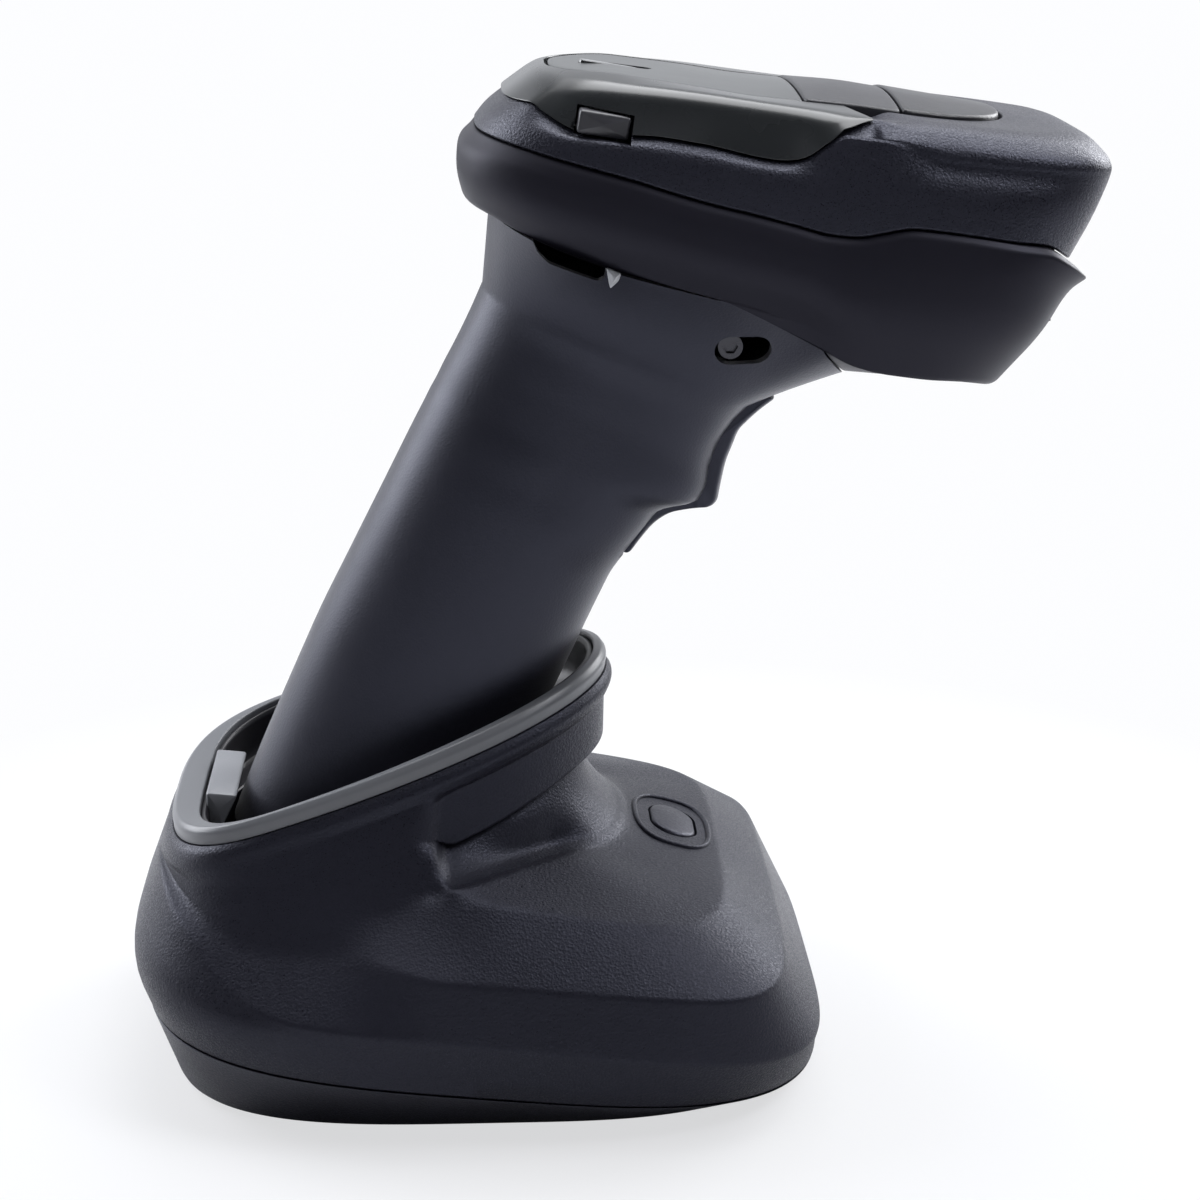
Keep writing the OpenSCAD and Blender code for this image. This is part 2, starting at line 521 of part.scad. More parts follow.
// ---------- grip ----------
grip_bottom = -36;
grip_screw_z = 123.2;
GRIP_STATIONS = concat([grip_bottom], [for (row = HANDLE) if (row[0] > grip_bottom) row[0]]);
// between the handle's top (u = 0) and the neck (u = 1)
function flare_loop(u, inset, angles) = [for (t = angles)
  let (a = handle_point(handle_top, t, inset), b = neck_point(t, inset, 0), p = mix(a, b, u))
  [p.x, mix(a.y, b.y, pow(u, 1.8)), p.z]];
// C-shaped loop kept on its own side of the middle gap
function half_loop(outer, inner, side) = [for (p = c_loop(outer, inner))
  [p.x, side > 0 ? max(p.y, gap/2) : min(p.y, -gap/2), p.z]];
module trigger_slot() {
  handle_frame() translate([14, -trigger_w/2-0.2, 32.7]) cube([30, trigger_w+0.4, 34.8]);
}
module screw_seats() {
  hull() for (x = [38.2, 42.2]) translate([x, -30, grip_screw_z])
    rotate([-90, 0, 0]) cylinder(r = 2.1, h = 60, $fn = 24);
}
module grip_half(side) {
  angles = [for (i = [0:24]) (side > 0 ? 0 : 180) + i*7.5];
  difference() {
    c_skin(concat(
      [for (along = GRIP_STATIONS)
        half_loop(handle_loop(along, 0, angles), handle_loop(along, wall, angles), side)],
      [for (u = [0.3, 0.6, 0.85, 1])
        half_loop(flare_loop(u, 0, angles), flare_loop(u, wall, angles), side)]));
    trigger_slot();
    screw_seats();
  }
}
module grip_shell_right() color([0.10, 0.10, 0.12]) grip_half(-1);
module grip_shell_left() color([0.10, 0.10, 0.12]) grip_half(1);
module grip_screws() color([0.55, 0.55, 0.57])
  for (s = [-1, 1]) translate([38.4, s*17.6, grip_screw_z]) rotate([s*90, 0, 0])
    hex_screw(1.95, 1.6, 1.3, 5.6, 1.2, 0.8);
module bumper_clip() color([0.6, 0.6, 0.62])
  for (s = [-1, 1]) translate([17, s*24.6, 134.6]) rotate([0, 20, 0])
    translate([0, 0, -1.2]) box([3, 1, 2.4]);

// ---------- trigger, in the handle frame ----------
module pivot_rod(r, length) {
  translate([17, 0, 64]) rotate([90, 0, 0]) cylinder(r = r, h = length, center = true, $fn = 48);
}
// side views, [front, up]
TRIGGER_BLADE = [[17.5, 33.4], [21.9, 33.4], [22.8, 37], [23.5, 39.6], [25, 42], [28, 44],
  [30, 45.3], [30.6, 46.6], [29.9, 49.5], [29, 53.5], [29, 56.5], [29.7, 59.5], [31.3, 63.6],
  [33, 66.6], [25, 67], [20, 62], [18.5, 50]];
TRIGGER_HUB = [[22, 61], [24, 66.6], [17, 66.9], [14.6, 65.4], [14.2, 62.6], [16, 61], [19, 58]];
BRACKET_CHEEK = [[10, 44], [14, 44], [18, 60], [18.6, 64], [17, 67], [12, 67], [10, 60]];
module trigger() color([0.11, 0.11, 0.13]) handle_frame() difference() {
  union() {
    profile(TRIGGER_BLADE, trigger_w);
    profile(TRIGGER_HUB, trigger_w-5);
  }
  pivot_rod(pivot_r+pivot_fit, 40);
}
module trigger_pin() color([0.75, 0.75, 0.77]) handle_frame() pivot_rod(pivot_r, 21.4);
module trigger_bracket() color([0.13, 0.13, 0.14]) handle_frame() difference() {
  union() {
    for (s = [-1, 1]) translate([0, s*9.7, 0]) profile(BRACKET_CHEEK, 2);
    translate([9, -10.7, 44]) cube([1.6, 21.4, 23]);
  }
  pivot_rod(pivot_r+0.01, 40);
}
module trigger_spring() color([0.75, 0.75, 0.78])
  handle_frame() forward([10.7, 0, 45.6]) spring_rings(6, 0.3, 1.15, 1.9, 0.25, 40);
module trigger_switch() color([0.14, 0.14, 0.15]) handle_frame() {
  translate([10.65, -3, 50]) cube([4, 6, 6]);
  forward([14.65, 0, 53]) rod(1, 1, fn = 24);
}

// ---------- battery, in the handle frame ----------
contact_r = 1.6;
cap_screw_x = 13;
module battery_pack() color([0.16, 0.22, 0.36]) handle_frame() {
  rod(9.1, 66, -34.8, 64);
  rod(3, 1, 31.2);
}
module battery_cap() color([0.09, 0.09, 0.10]) difference() {
  skin([handle_loop(-42, 0.8), handle_loop(-41.4), handle_loop(-36.2), handle_loop(-36.2, 4)]);
  handle_frame() at_pins() rod(contact_r+0.01, 1.8, -43);
  handle_frame() translate([cap_screw_x, 0, -43]) {
    rod(1.3, 12);
    rod(2.5, 2.6);
  }
}
module cap_contacts() color([0.85, 0.7, 0.32]) handle_frame() at_pins() rod(contact_r, 0.9, -42.1);
module cap_screw() color([0.6, 0.6, 0.62]) handle_frame()
  translate([cap_screw_x, 0, -41.8]) hex_screw(2.3, 1.4, 1.25, 6.4, 1, 0.7);

// ---------- nodes ----------
module placed() { translate([-middle_x, 0, 0]) children(); }
placed() cradle_shell();
placed() cradle_base_plate();
placed() ring_bezel();
placed() cup_liner();
placed() rear_rest_pad();
placed() cradle_circuit_board();
placed() contact_block();
placed() ballast_plate();
placed() rubber_feet();
placed() base_screws();
placed() data_socket();
placed() page_switch();
placed() page_button();
placed() charge_pins();
placed() pin_springs();
placed() head_upper_shell();
placed() side_gloss_cover();
placed() top_plate();
placed() indicator_lens();
placed() top_pad();
placed() top_insert();
placed() head_bumper();
placed() window_bezel();
placed() scan_window();
placed() imager_housing();
placed() imager_lens();
placed() illumination_leds();
placed() aimer_lens();
placed() main_circuit_board();
placed() beeper();
placed() side_switches();
placed() side_button_right();
placed() side_button_left();
placed() grip_shell_right();
placed() grip_shell_left();
placed() grip_screws();
placed() bumper_clip();
placed() trigger_bracket();
placed() trigger();
placed() trigger_pin();
placed() trigger_spring();
placed() trigger_switch();
placed() battery_pack();
placed() battery_cap();
placed() cap_contacts();
placed() cap_screw();
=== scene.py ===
"""Cordless hand scanner standing in its charging cradle.

x points to the front (the scanner's nose), y to the left and z up from the floor. The shapes are
drawn in millimetres with x from the cradle's middle, and make_mesh moves them into the frame's
metres. Materials, lights and the camera are in metres.
"""
import math
import bmesh
import bpy
import numpy as np
from mathutils import Matrix, Vector
from mathutils.bvhtree import BVHTree


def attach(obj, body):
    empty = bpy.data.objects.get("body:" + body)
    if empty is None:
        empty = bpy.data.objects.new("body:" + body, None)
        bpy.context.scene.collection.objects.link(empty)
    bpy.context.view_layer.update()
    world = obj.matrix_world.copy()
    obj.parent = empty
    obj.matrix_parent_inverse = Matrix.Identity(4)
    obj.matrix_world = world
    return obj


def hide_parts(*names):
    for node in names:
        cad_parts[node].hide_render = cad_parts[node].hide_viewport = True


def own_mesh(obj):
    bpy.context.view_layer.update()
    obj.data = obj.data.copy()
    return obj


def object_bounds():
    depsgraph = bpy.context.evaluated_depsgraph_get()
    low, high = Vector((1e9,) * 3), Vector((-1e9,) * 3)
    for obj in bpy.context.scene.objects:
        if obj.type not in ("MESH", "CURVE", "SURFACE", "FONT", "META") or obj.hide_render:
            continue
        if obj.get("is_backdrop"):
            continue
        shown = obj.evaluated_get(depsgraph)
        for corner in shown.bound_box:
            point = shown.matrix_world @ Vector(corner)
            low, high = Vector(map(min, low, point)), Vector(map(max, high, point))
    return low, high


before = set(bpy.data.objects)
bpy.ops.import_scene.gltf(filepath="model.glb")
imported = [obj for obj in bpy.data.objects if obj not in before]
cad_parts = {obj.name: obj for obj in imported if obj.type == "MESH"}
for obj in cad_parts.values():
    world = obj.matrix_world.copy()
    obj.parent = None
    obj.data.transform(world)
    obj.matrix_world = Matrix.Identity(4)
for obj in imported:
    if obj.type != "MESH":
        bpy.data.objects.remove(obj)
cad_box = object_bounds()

DEG = math.pi / 180
MM = 0.001
GAP = 0.2                                # clearance between neighbouring parts
WALL = 2.2                               # wall of the scanner's shells
CRADLE_WALL = 2.4
SHIFT = np.array([-18.85, 0, 0])         # from the drawing's origin to the frame's
AXIS_X = -12.0                           # upright line that the cradle's loops turn about
LOOP_POINTS = 288
ANGLES = np.arange(LOOP_POINTS) * 360.0 / LOOP_POINTS         # 0 at the front, 90 at the left
FROM_FRONT = np.where(ANGLES > 180, 360 - ANGLES, ANGLES)     # 0 at the front, 180 at the rear

X = np.array([1.0, 0, 0])
Y = np.array([0, 1.0, 0])
Z = np.array([0, 0, 1.0])
SIDE_VIEW = (np.zeros(3), X, Z, Y)       # frames are (origin, first axis, second axis, normal)


def tilted(angle):
    """Forward and up directions of a frame pitched nose-down by angle."""
    c, s = math.cos(angle), math.sin(angle)
    return np.array([c, 0, -s]), np.array([s, 0, c])


GRIP_ORIGIN = np.array([-10.0, 0, 64.7])
GRIP_FORWARD, GRIP_UP = tilted(24 * DEG)
GRIP_SIDE = (GRIP_ORIGIN, GRIP_FORWARD, GRIP_UP, Y)
HEAD_PITCH = 9.5 * DEG
HEAD_FORWARD, HEAD_UP = tilted(HEAD_PITCH)
PINS = [(i - 1.5) * 4 for i in range(4)]       # charge pins, forward of the grip's axis


# ---------- curves ----------
# A section is [front x, rear x, half width, x where widest, front exponent, rear exponent].
def ease(start, end, x):
    u = np.clip((x - start) / (end - start), 0, 1)
    return u * u * (3 - 2 * u)


def turn(start, end):
    """Eases from 0 to 1 between two angles from the front, for every point of a loop."""
    return ease(start, end, FROM_FRONT)


def mix(a, b, weight):
    weight = np.asarray(weight, float)
    if weight.ndim == 1 and np.ndim(a) == 2:
        weight = weight[:, None]
    return a + (b - a) * weight


def superellipse(section, angles, inset=0.0):
    front, rear, half_width, middle, front_power, rear_power = section
    c, s = np.cos(angles * DEG), np.sin(angles * DEG)
    power = np.where(c >= 0, front_power, rear_power)
    reach = np.where(c >= 0, front - inset - middle, middle - (rear + inset))
    k = (np.abs(c) ** power + np.abs(s) ** power) ** (-1 / power)
    return middle + reach * k * c, (half_width - inset) * k * s


def radius_from_axis(section):
    """Distance from the cradle's axis to the section at each loop angle, by bisection."""
    front, rear, half_width, middle, front_power, rear_power = section
    low, high = np.zeros_like(ANGLES), np.full_like(ANGLES, 110.0)
    for _ in range(30):
        guess = (low + high) / 2
        x, y = AXIS_X + guess * np.cos(ANGLES * DEG), guess * np.sin(ANGLES * DEG)
        reach = np.where(x >= middle, front - middle, middle - rear)
        power = np.where(x >= middle, front_power, rear_power)
        inside = (np.abs(x - middle) / reach) ** power + (np.abs(y) / half_width) ** power < 1
        low, high = np.where(inside, guess, low), np.where(inside, high, guess)
    return (low + high) / 2


def cradle_loop(section, z_front, z_rear, inset=0.0, dz=0.0):
    """Loop on a section whose height slopes from the rear to the front."""
    radius = radius_from_axis(section)
    c, s = np.cos(ANGLES * DEG), np.sin(ANGLES * DEG)
    forward = (AXIS_X + radius * c - section[1]) / (section[0] - section[1])
    x, y = AXIS_X + (radius - inset) * c, (radius - inset) * s
    return np.stack([x, y, mix(z_rear, z_front, forward) + dz], 1)


def round_loop(radius, z):
    """Loop at a radius from the cradle's axis."""
    x, y = AXIS_X + radius * np.cos(ANGLES * DEG), radius * np.sin(ANGLES * DEG)
    return np.stack([x, y, z + 0 * ANGLES], 1)


def inward(loop, inset, dz):
    """Loop moved towards the cradle's axis and raised."""
    x, y = loop[:, 0] - AXIS_X, loop[:, 1]
    q = np.hypot(x, y)
    return np.stack([AXIS_X + x * (q - inset) / q, y * (q - inset) / q, loop[:, 2] + dz], 1)


def grip_point(along, forward, y=0.0):
    """Place along the grip's axis, forward of it and to the left."""
    outer = np.multiply.outer
    return GRIP_ORIGIN + outer(along, GRIP_UP) + outer(forward, GRIP_FORWARD) + outer(y, Y)


def table(rows):
    """Smooth curve through (x, value) rows that never overshoots them."""
    xs, ys = np.array(rows, float).T
    h = np.diff(xs)
    d = np.diff(ys) / h
    both = d[:-1] + d[1:]
    slope = np.zeros(len(xs))
    harmonic = 2 * d[:-1] * d[1:] / np.where(np.abs(both) < 1e-9, 1, both)
    slope[1:-1] = np.where(d[:-1] * d[1:] > 0, harmonic, 0)
    slope[0], slope[-1] = d[0], d[-1]

    def curve(x):
        x = np.clip(np.asarray(x, float), xs[0], xs[-1])
        i = np.clip(np.searchsorted(xs, x, side="right") - 1, 0, len(h) - 1)
        u = (x - xs[i]) / h[i]
        return (
            ys[i] * (1 + 2 * u) * (1 - u) ** 2
            + h[i] * slope[i] * u * (1 - u) ** 2
            + ys[i + 1] * u * u * (3 - 2 * u)
            + h[i] * slope[i + 1] * u * u * (u - 1)
        )

    return curve


def corner_arc(start, corner, end, steps):
    fractions = [j / steps for j in range(steps + 1)]
    return [(1 - f) ** 2 * start + 2 * f * (1 - f) * corner + f * f * end for f in fractions]


def rounded(knots, steps=5, wrap=False):
    """Loops through (loop, rounding length) knots, with an arc at each rounded knot."""
    out = []
    for i, (corner, length) in enumerate(knots):
        if (not wrap and i in (0, len(knots) - 1)) or np.max(length) <= 0:
            out.append(corner)
            continue
        back, ahead = knots[i - 1][0] - corner, knots[(i + 1) % len(knots)][0] - corner
        back_len = np.linalg.norm(back, axis=1) + 1e-9
        ahead_len = np.linalg.norm(ahead, axis=1) + 1e-9
        start = corner + back / back_len[:, None] * np.minimum(length, 0.47 * back_len)[:, None]
        end = corner + ahead / ahead_len[:, None] * np.minimum(length, 0.47 * ahead_len)[:, None]
        out += corner_arc(start, corner, end, steps)
    return out


def densify(loops, step):
    """Adds loops between loops that lie far apart."""
    out = [loops[0]]
    for a, b in zip(loops[:-1], loops[1:]):
        count = math.ceil(np.percentile(np.linalg.norm(b - a, axis=1), 90) / step)
        count = max(1, int(count))
        out += [a + (b - a) * j / count for j in range(1, count + 1)]
    return out


# ---------- flat outlines ----------
def outline_round(points, radii, steps=6):
    """Closed outline with rounded corners; radii is one radius or one per corner."""
    points = [np.array(p, float) for p in points]
    if not isinstance(radii, list):
        radii = [radii] * len(points)
    out = []
    for i, (corner, radius) in enumerate(zip(points, radii)):
        back, ahead = points[i - 1] - corner, points[(i + 1) % len(points)] - corner
        back_len, ahead_len = np.linalg.norm(back), np.linalg.norm(ahead)
        k = min(radius, 0.48 * back_len, 0.48 * ahead_len)
        if k <= 1e-6:
            out.append(corner)
            continue
        start, end = corner + back / back_len * k, corner + ahead / ahead_len * k
        out += corner_arc(start, corner, end, steps)
    return np.array(out)


def inset_outline(P, d):
    """Closed outline moved inwards by d along its corner normals."""
    following = np.roll(P, -1, 0)
    e1, e2 = P - np.roll(P, 1, 0), following - P
    e1 = e1 / (np.linalg.norm(e1, axis=1)[:, None] + 1e-9)
    e2 = e2 / (np.linalg.norm(e2, axis=1)[:, None] + 1e-9)
    normal = np.stack([-(e1 + e2)[:, 1], (e1 + e2)[:, 0]], 1)
    normal = normal / (np.linalg.norm(normal, axis=1)[:, None] + 1e-9)
    area = 0.5 * np.sum(P[:, 0] * following[:, 1] - following[:, 0] * P[:, 1])
    return P + normal * d * (1 if area > 0 else -1)


def pill(width, length):
    """Outline with half-round ends, long in its second column."""
    a = np.arange(21) * math.pi / 20
    r = width / 2
    top = np.stack([r * np.cos(a), (length - width) / 2 + r * np.sin(a)], 1)
    return np.concatenate([top, -top])


def layer(outline, height, axes):
    """Flat outline set into space at a height along the frame's normal."""
    origin, first, second, normal = np.array(axes, float)
    return origin + outline[:, :1] * first + outline[:, 1:] * second + height * normal


# ---------- meshes ----------
def make_mesh(name, points, faces, angle=32):
    me = bpy.data.meshes.new(name)
    verts = [tuple(p) for p in (np.asarray(points) + SHIFT) * MM]
    me.from_pydata(verts, [], [tuple(int(i) for i in f) for f in faces])
    me.validate()
    bm = bmesh.new()
    bm.from_mesh(me)
    bmesh.ops.remove_doubles(bm, verts=bm.verts, dist=1e-7)
    bmesh.ops.dissolve_degenerate(bm, dist=1e-8, edges=bm.edges)
    bmesh.ops.recalc_face_normals(bm, faces=bm.faces)
    bm.to_mesh(me)
    bm.free()
    obj = bpy.data.objects.new(name, me)
    bpy.context.scene.collection.objects.link(obj)
    shade(obj, angle)
    return obj


def shade(obj, angle):
    me = obj.data
    me.polygons.foreach_set("use_smooth", [True] * len(me.polygons))
    me.set_sharp_from_angle(angle=math.radians(angle))
    me.update()


def dress(obj, body, node_name, slot, look=None):
    """Parents a mesh to its moving body, hides the CAD node it replaces and gives it the material
    named by look, or else by slot.
    """
    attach(obj, body)
    if node_name:
        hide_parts(node_name)
    obj.data.materials.append(MATERIALS[look or slot])
    return obj


def grid_faces(rows, columns, wrap_rows, wrap_columns):
    faces = []
    for j in range(rows if wrap_rows else rows - 1):
        a, b = j * columns, (j + 1) % rows * columns
        for i in range(columns if wrap_columns else columns - 1):
            k = (i + 1) % columns
            faces.append((a + i, a + k, b + k, b + i))
    return faces


def shell(name, loops, wrap=True, angle=32):
    """Closed skin through closed loops; without wrap both ends are capped with a fan."""
    m, n = len(loops), len(loops[0])
    points = np.concatenate(loops)
    faces = grid_faces(m, n, wrap, True)
    if not wrap:
        points = np.concatenate([points, [loops[0].mean(0)], [loops[-1].mean(0)]])
        last = (m - 1) * n
        faces += [(i, m * n, (i + 1) % n) for i in range(n)]
        faces += [(last + i, last + (i + 1) % n, m * n + 1) for i in range(n)]
    return make_mesh(name, points, faces, angle)


def block(name, outline, height, edge, crown, axes, steps=3):
    """Solid on an outline, with rounded edges and a crowned top."""
    loops = []
    arc = [j / steps * math.pi / 2 for j in range(steps + 1)]
    for f in arc:
        side = inset_outline(outline, edge * (1 - math.sin(f)))
        loops.append(layer(side, edge * (1 - math.cos(f)), axes))
    for f in arc:
        side = inset_outline(outline, edge * (1 - math.cos(f)))
        loops.append(layer(side, height - edge * (1 - math.sin(f)), axes))
    centre, top = outline.mean(0), inset_outline(outline, edge)
    for k in (0.85, 0.65, 0.4, 0.15):
        loops.append(layer(centre + (top - centre) * k, height + crown * (1 - k * k), axes))
    return shell(name, loops, wrap=False)


def tube(name, path, radius, closed, sides=12):
    path = np.asarray(path, float)
    ahead, behind = np.roll(path, -1, 0), np.roll(path, 1, 0)
    if not closed:
        ahead[-1] = path[-1] + (path[-1] - path[-2])
        behind[0] = path[0] - (path[1] - path[0])
    tangents = ahead - behind
    tangents /= np.linalg.norm(tangents, axis=1)[:, None]
    up = Z if abs(tangents[0][2]) < 0.9 else Y
    a = up - tangents[0] * (up @ tangents[0])
    angles = np.arange(sides) * 2 * math.pi / sides
    loops = []
    for point, tangent in zip(path, tangents):
        a = a - tangent * (a @ tangent)
        a /= np.linalg.norm(a)
        b = np.cross(tangent, a)
        loops.append(point + radius * (np.cos(angles)[:, None] * a + np.sin(angles)[:, None] * b))
    return shell(name, loops, wrap=closed, angle=60)


def cylinder_loops(start, axis, radius, height):
    axis = np.array(axis, float)
    axis /= np.linalg.norm(axis)
    u = np.cross(axis, Z if abs(axis[2]) < 0.9 else X)
    u /= np.linalg.norm(u)
    a = np.arange(48) * 2 * math.pi / 48
    circle = radius * (np.cos(a)[:, None] * u + np.sin(a)[:, None] * np.cross(axis, u))
    return [np.array(start) + circle, np.array(start) + axis * height + circle]


# ---------- cutters ----------
def drill(start, axis, radius, height):
    return shell("cutter", cylinder_loops(start, axis, radius, height), wrap=False)


def prism(outline, ends, axes):
    return shell("cutter", [layer(outline, end, axes) for end in ends], wrap=False)


def box(centre, size, pitch=0.0):
    corners = [[i, j, k] for i in (-1, 1) for j in (-1, 1) for k in (-1, 1)]
    x, y, z = (np.array(corners) * size / 2).T
    c, s = math.cos(pitch), math.sin(pitch)
    points = np.column_stack([x * c + z * s, y, -x * s + z * c]) + np.array(centre)
    faces = [(0, 1, 3, 2), (4, 6, 7, 5), (0, 4, 5, 1), (2, 3, 7, 6), (0, 2, 6, 4), (1, 5, 7, 3)]
    return make_mesh("cutter", points, faces)


def apply_modifiers(obj):
    bpy.context.view_layer.update()
    graph = bpy.context.evaluated_depsgraph_get()
    me = bpy.data.meshes.new_from_object(obj.evaluated_get(graph))
    obj.modifiers.clear()
    old = obj.data
    obj.data = me
    bpy.data.meshes.remove(old)


def cut(obj, cutters, operation="DIFFERENCE", angle=32):
    """Applies each cutter; EXACT takes over where MANIFOLD changes nothing or loses the mesh."""
    before = len(obj.data.polygons)
    for cutter in cutters:
        kept = obj.data.copy()
        for solver in ("MANIFOLD", "EXACT"):
            boolean = obj.modifiers.new("cut", "BOOLEAN")
            boolean.operation = operation
            boolean.object = cutter
            boolean.solver = solver
            apply_modifiers(obj)
            changed = len(obj.data.vertices) != len(kept.vertices)
            if changed and len(obj.data.polygons) > 0.5 * before:
                break
            obj.data = kept.copy()
    for cutter in cutters:
        bpy.data.objects.remove(cutter)
    shade(obj, angle)


# ---------- materials ----------
def node(tree, kind, inputs=None, **settings):
    """New shader node; inputs gives a socket a value, or the output to link into it."""
    new = tree.nodes.new("ShaderNode" + kind)
    for key, value in settings.items():
        setattr(new, key, value)
    for socket, value in (inputs or {}).items():
        if isinstance(value, bpy.types.NodeSocket):
            tree.links.new(value, new.inputs[socket])
        else:
            new.inputs[socket].default_value = value
    return new


def map_range(tree, source, low, high, start=0.3, end=0.7, **settings):
    """Output that runs from low to high while source runs from start to end."""
    inputs = {0: source, 1: start, 2: end, 3: low, 4: high}
    return node(tree, "MapRange", inputs, **settings).outputs[0]


def bump(tree, height, strength, distance, normal):
    inputs = {"Strength": strength, "Distance": distance, "Height": height}
    if normal:
        inputs["Normal"] = normal
    return node(tree, "Bump", inputs).outputs[0]


def material(name, color, rough, rough_vary=0.08, color_vary=0.12, grain=None, speckle=0.0,
             ripple=0.0, streaks=None, wear=0.0, coat=0.0, coat_rough=0.05, specular=0.5,
             tint=(1, 1, 1), metallic=0.0, sheen=0.0, alpha=1.0):
    mat = bpy.data.materials.new(name)
    mat.use_nodes = True
    tree = mat.node_tree
    tree.nodes.clear()
    place = node(tree, "TexCoord").outputs["Object"]
    cloud = node(tree, "TexNoise", {"Scale": 38, "Detail": 4, "Vector": place}).outputs[0]
    shade_range = map_range(tree, cloud, 1 - color_vary, 1 + color_vary)
    if grain:
        strength, scale, depth = grain
        inputs = {"Scale": scale, "Detail": 3, "Roughness": 0.65, "Vector": place}
        fine = node(tree, "TexNoise", inputs).outputs[0]
    base = node(tree, "Mix", {0: 1, 6: (*color, 1), 7: shade_range},
                data_type="RGBA", blend_type="MULTIPLY").outputs[2]
    if wear:
        edges = node(tree, "NewGeometry").outputs["Pointiness"]
        edges = map_range(tree, edges, 0, wear, start=0.52, end=0.62)
        patchy = node(tree, "Math", {0: edges, 1: cloud}, operation="MULTIPLY").outputs[0]
        worn = [min(1, c * 3 + lift) for c, lift in zip(color, (0.05, 0.05, 0.055))]
        base = node(tree, "Mix", {0: patchy, 6: base, 7: (*worn, 1)}, data_type="RGBA").outputs[2]
    roughness = map_range(tree, cloud, max(0.02, rough - rough_vary), min(1, rough + rough_vary))
    if speckle:
        spots = map_range(tree, fine, -speckle, speckle, start=0.35, end=0.65)
        added = node(tree, "Math", {0: roughness, 1: spots}, operation="ADD", use_clamp=True)
        roughness = added.outputs[0]
    normal = None
    if grain:
        cells = node(tree, "TexVoronoi", {"Scale": scale * 0.55, "Vector": place})
        height = node(tree, "Mix", {0: 0.5, 2: fine, 3: cells.outputs["Distance"]}).outputs[0]
        normal = bump(tree, height, strength, depth, normal)
    if ripple:
        waves = node(tree, "TexNoise", {"Scale": 160, "Detail": 2, "Vector": place}).outputs[0]
        normal = bump(tree, waves, ripple, 0.0002, normal)
    if streaks:
        stretched = node(tree, "Mapping", {"Scale": streaks, 0: place}).outputs[0]
        lines = node(tree, "TexNoise", {"Vector": stretched, "Scale": 1}).outputs[0]
        normal = bump(tree, lines, 0.25, 0.00005, normal)
    shader = node(tree, "BsdfPrincipled", {
        "Base Color": base, "Roughness": roughness, "Metallic": metallic, "IOR": 1.5,
        "Specular IOR Level": specular, "Specular Tint": (*tint, 1), "Alpha": alpha,
        "Coat Weight": coat, "Coat Roughness": coat_rough,
        "Sheen Weight": sheen, "Sheen Roughness": 0.4,
    })
    if normal:
        tree.links.new(normal, shader.inputs["Normal"])
    node(tree, "OutputMaterial", {0: shader.outputs[0]})
    return mat


COOL = (0.76, 0.79, 1.0)         # bluish highlight of the dark plastics
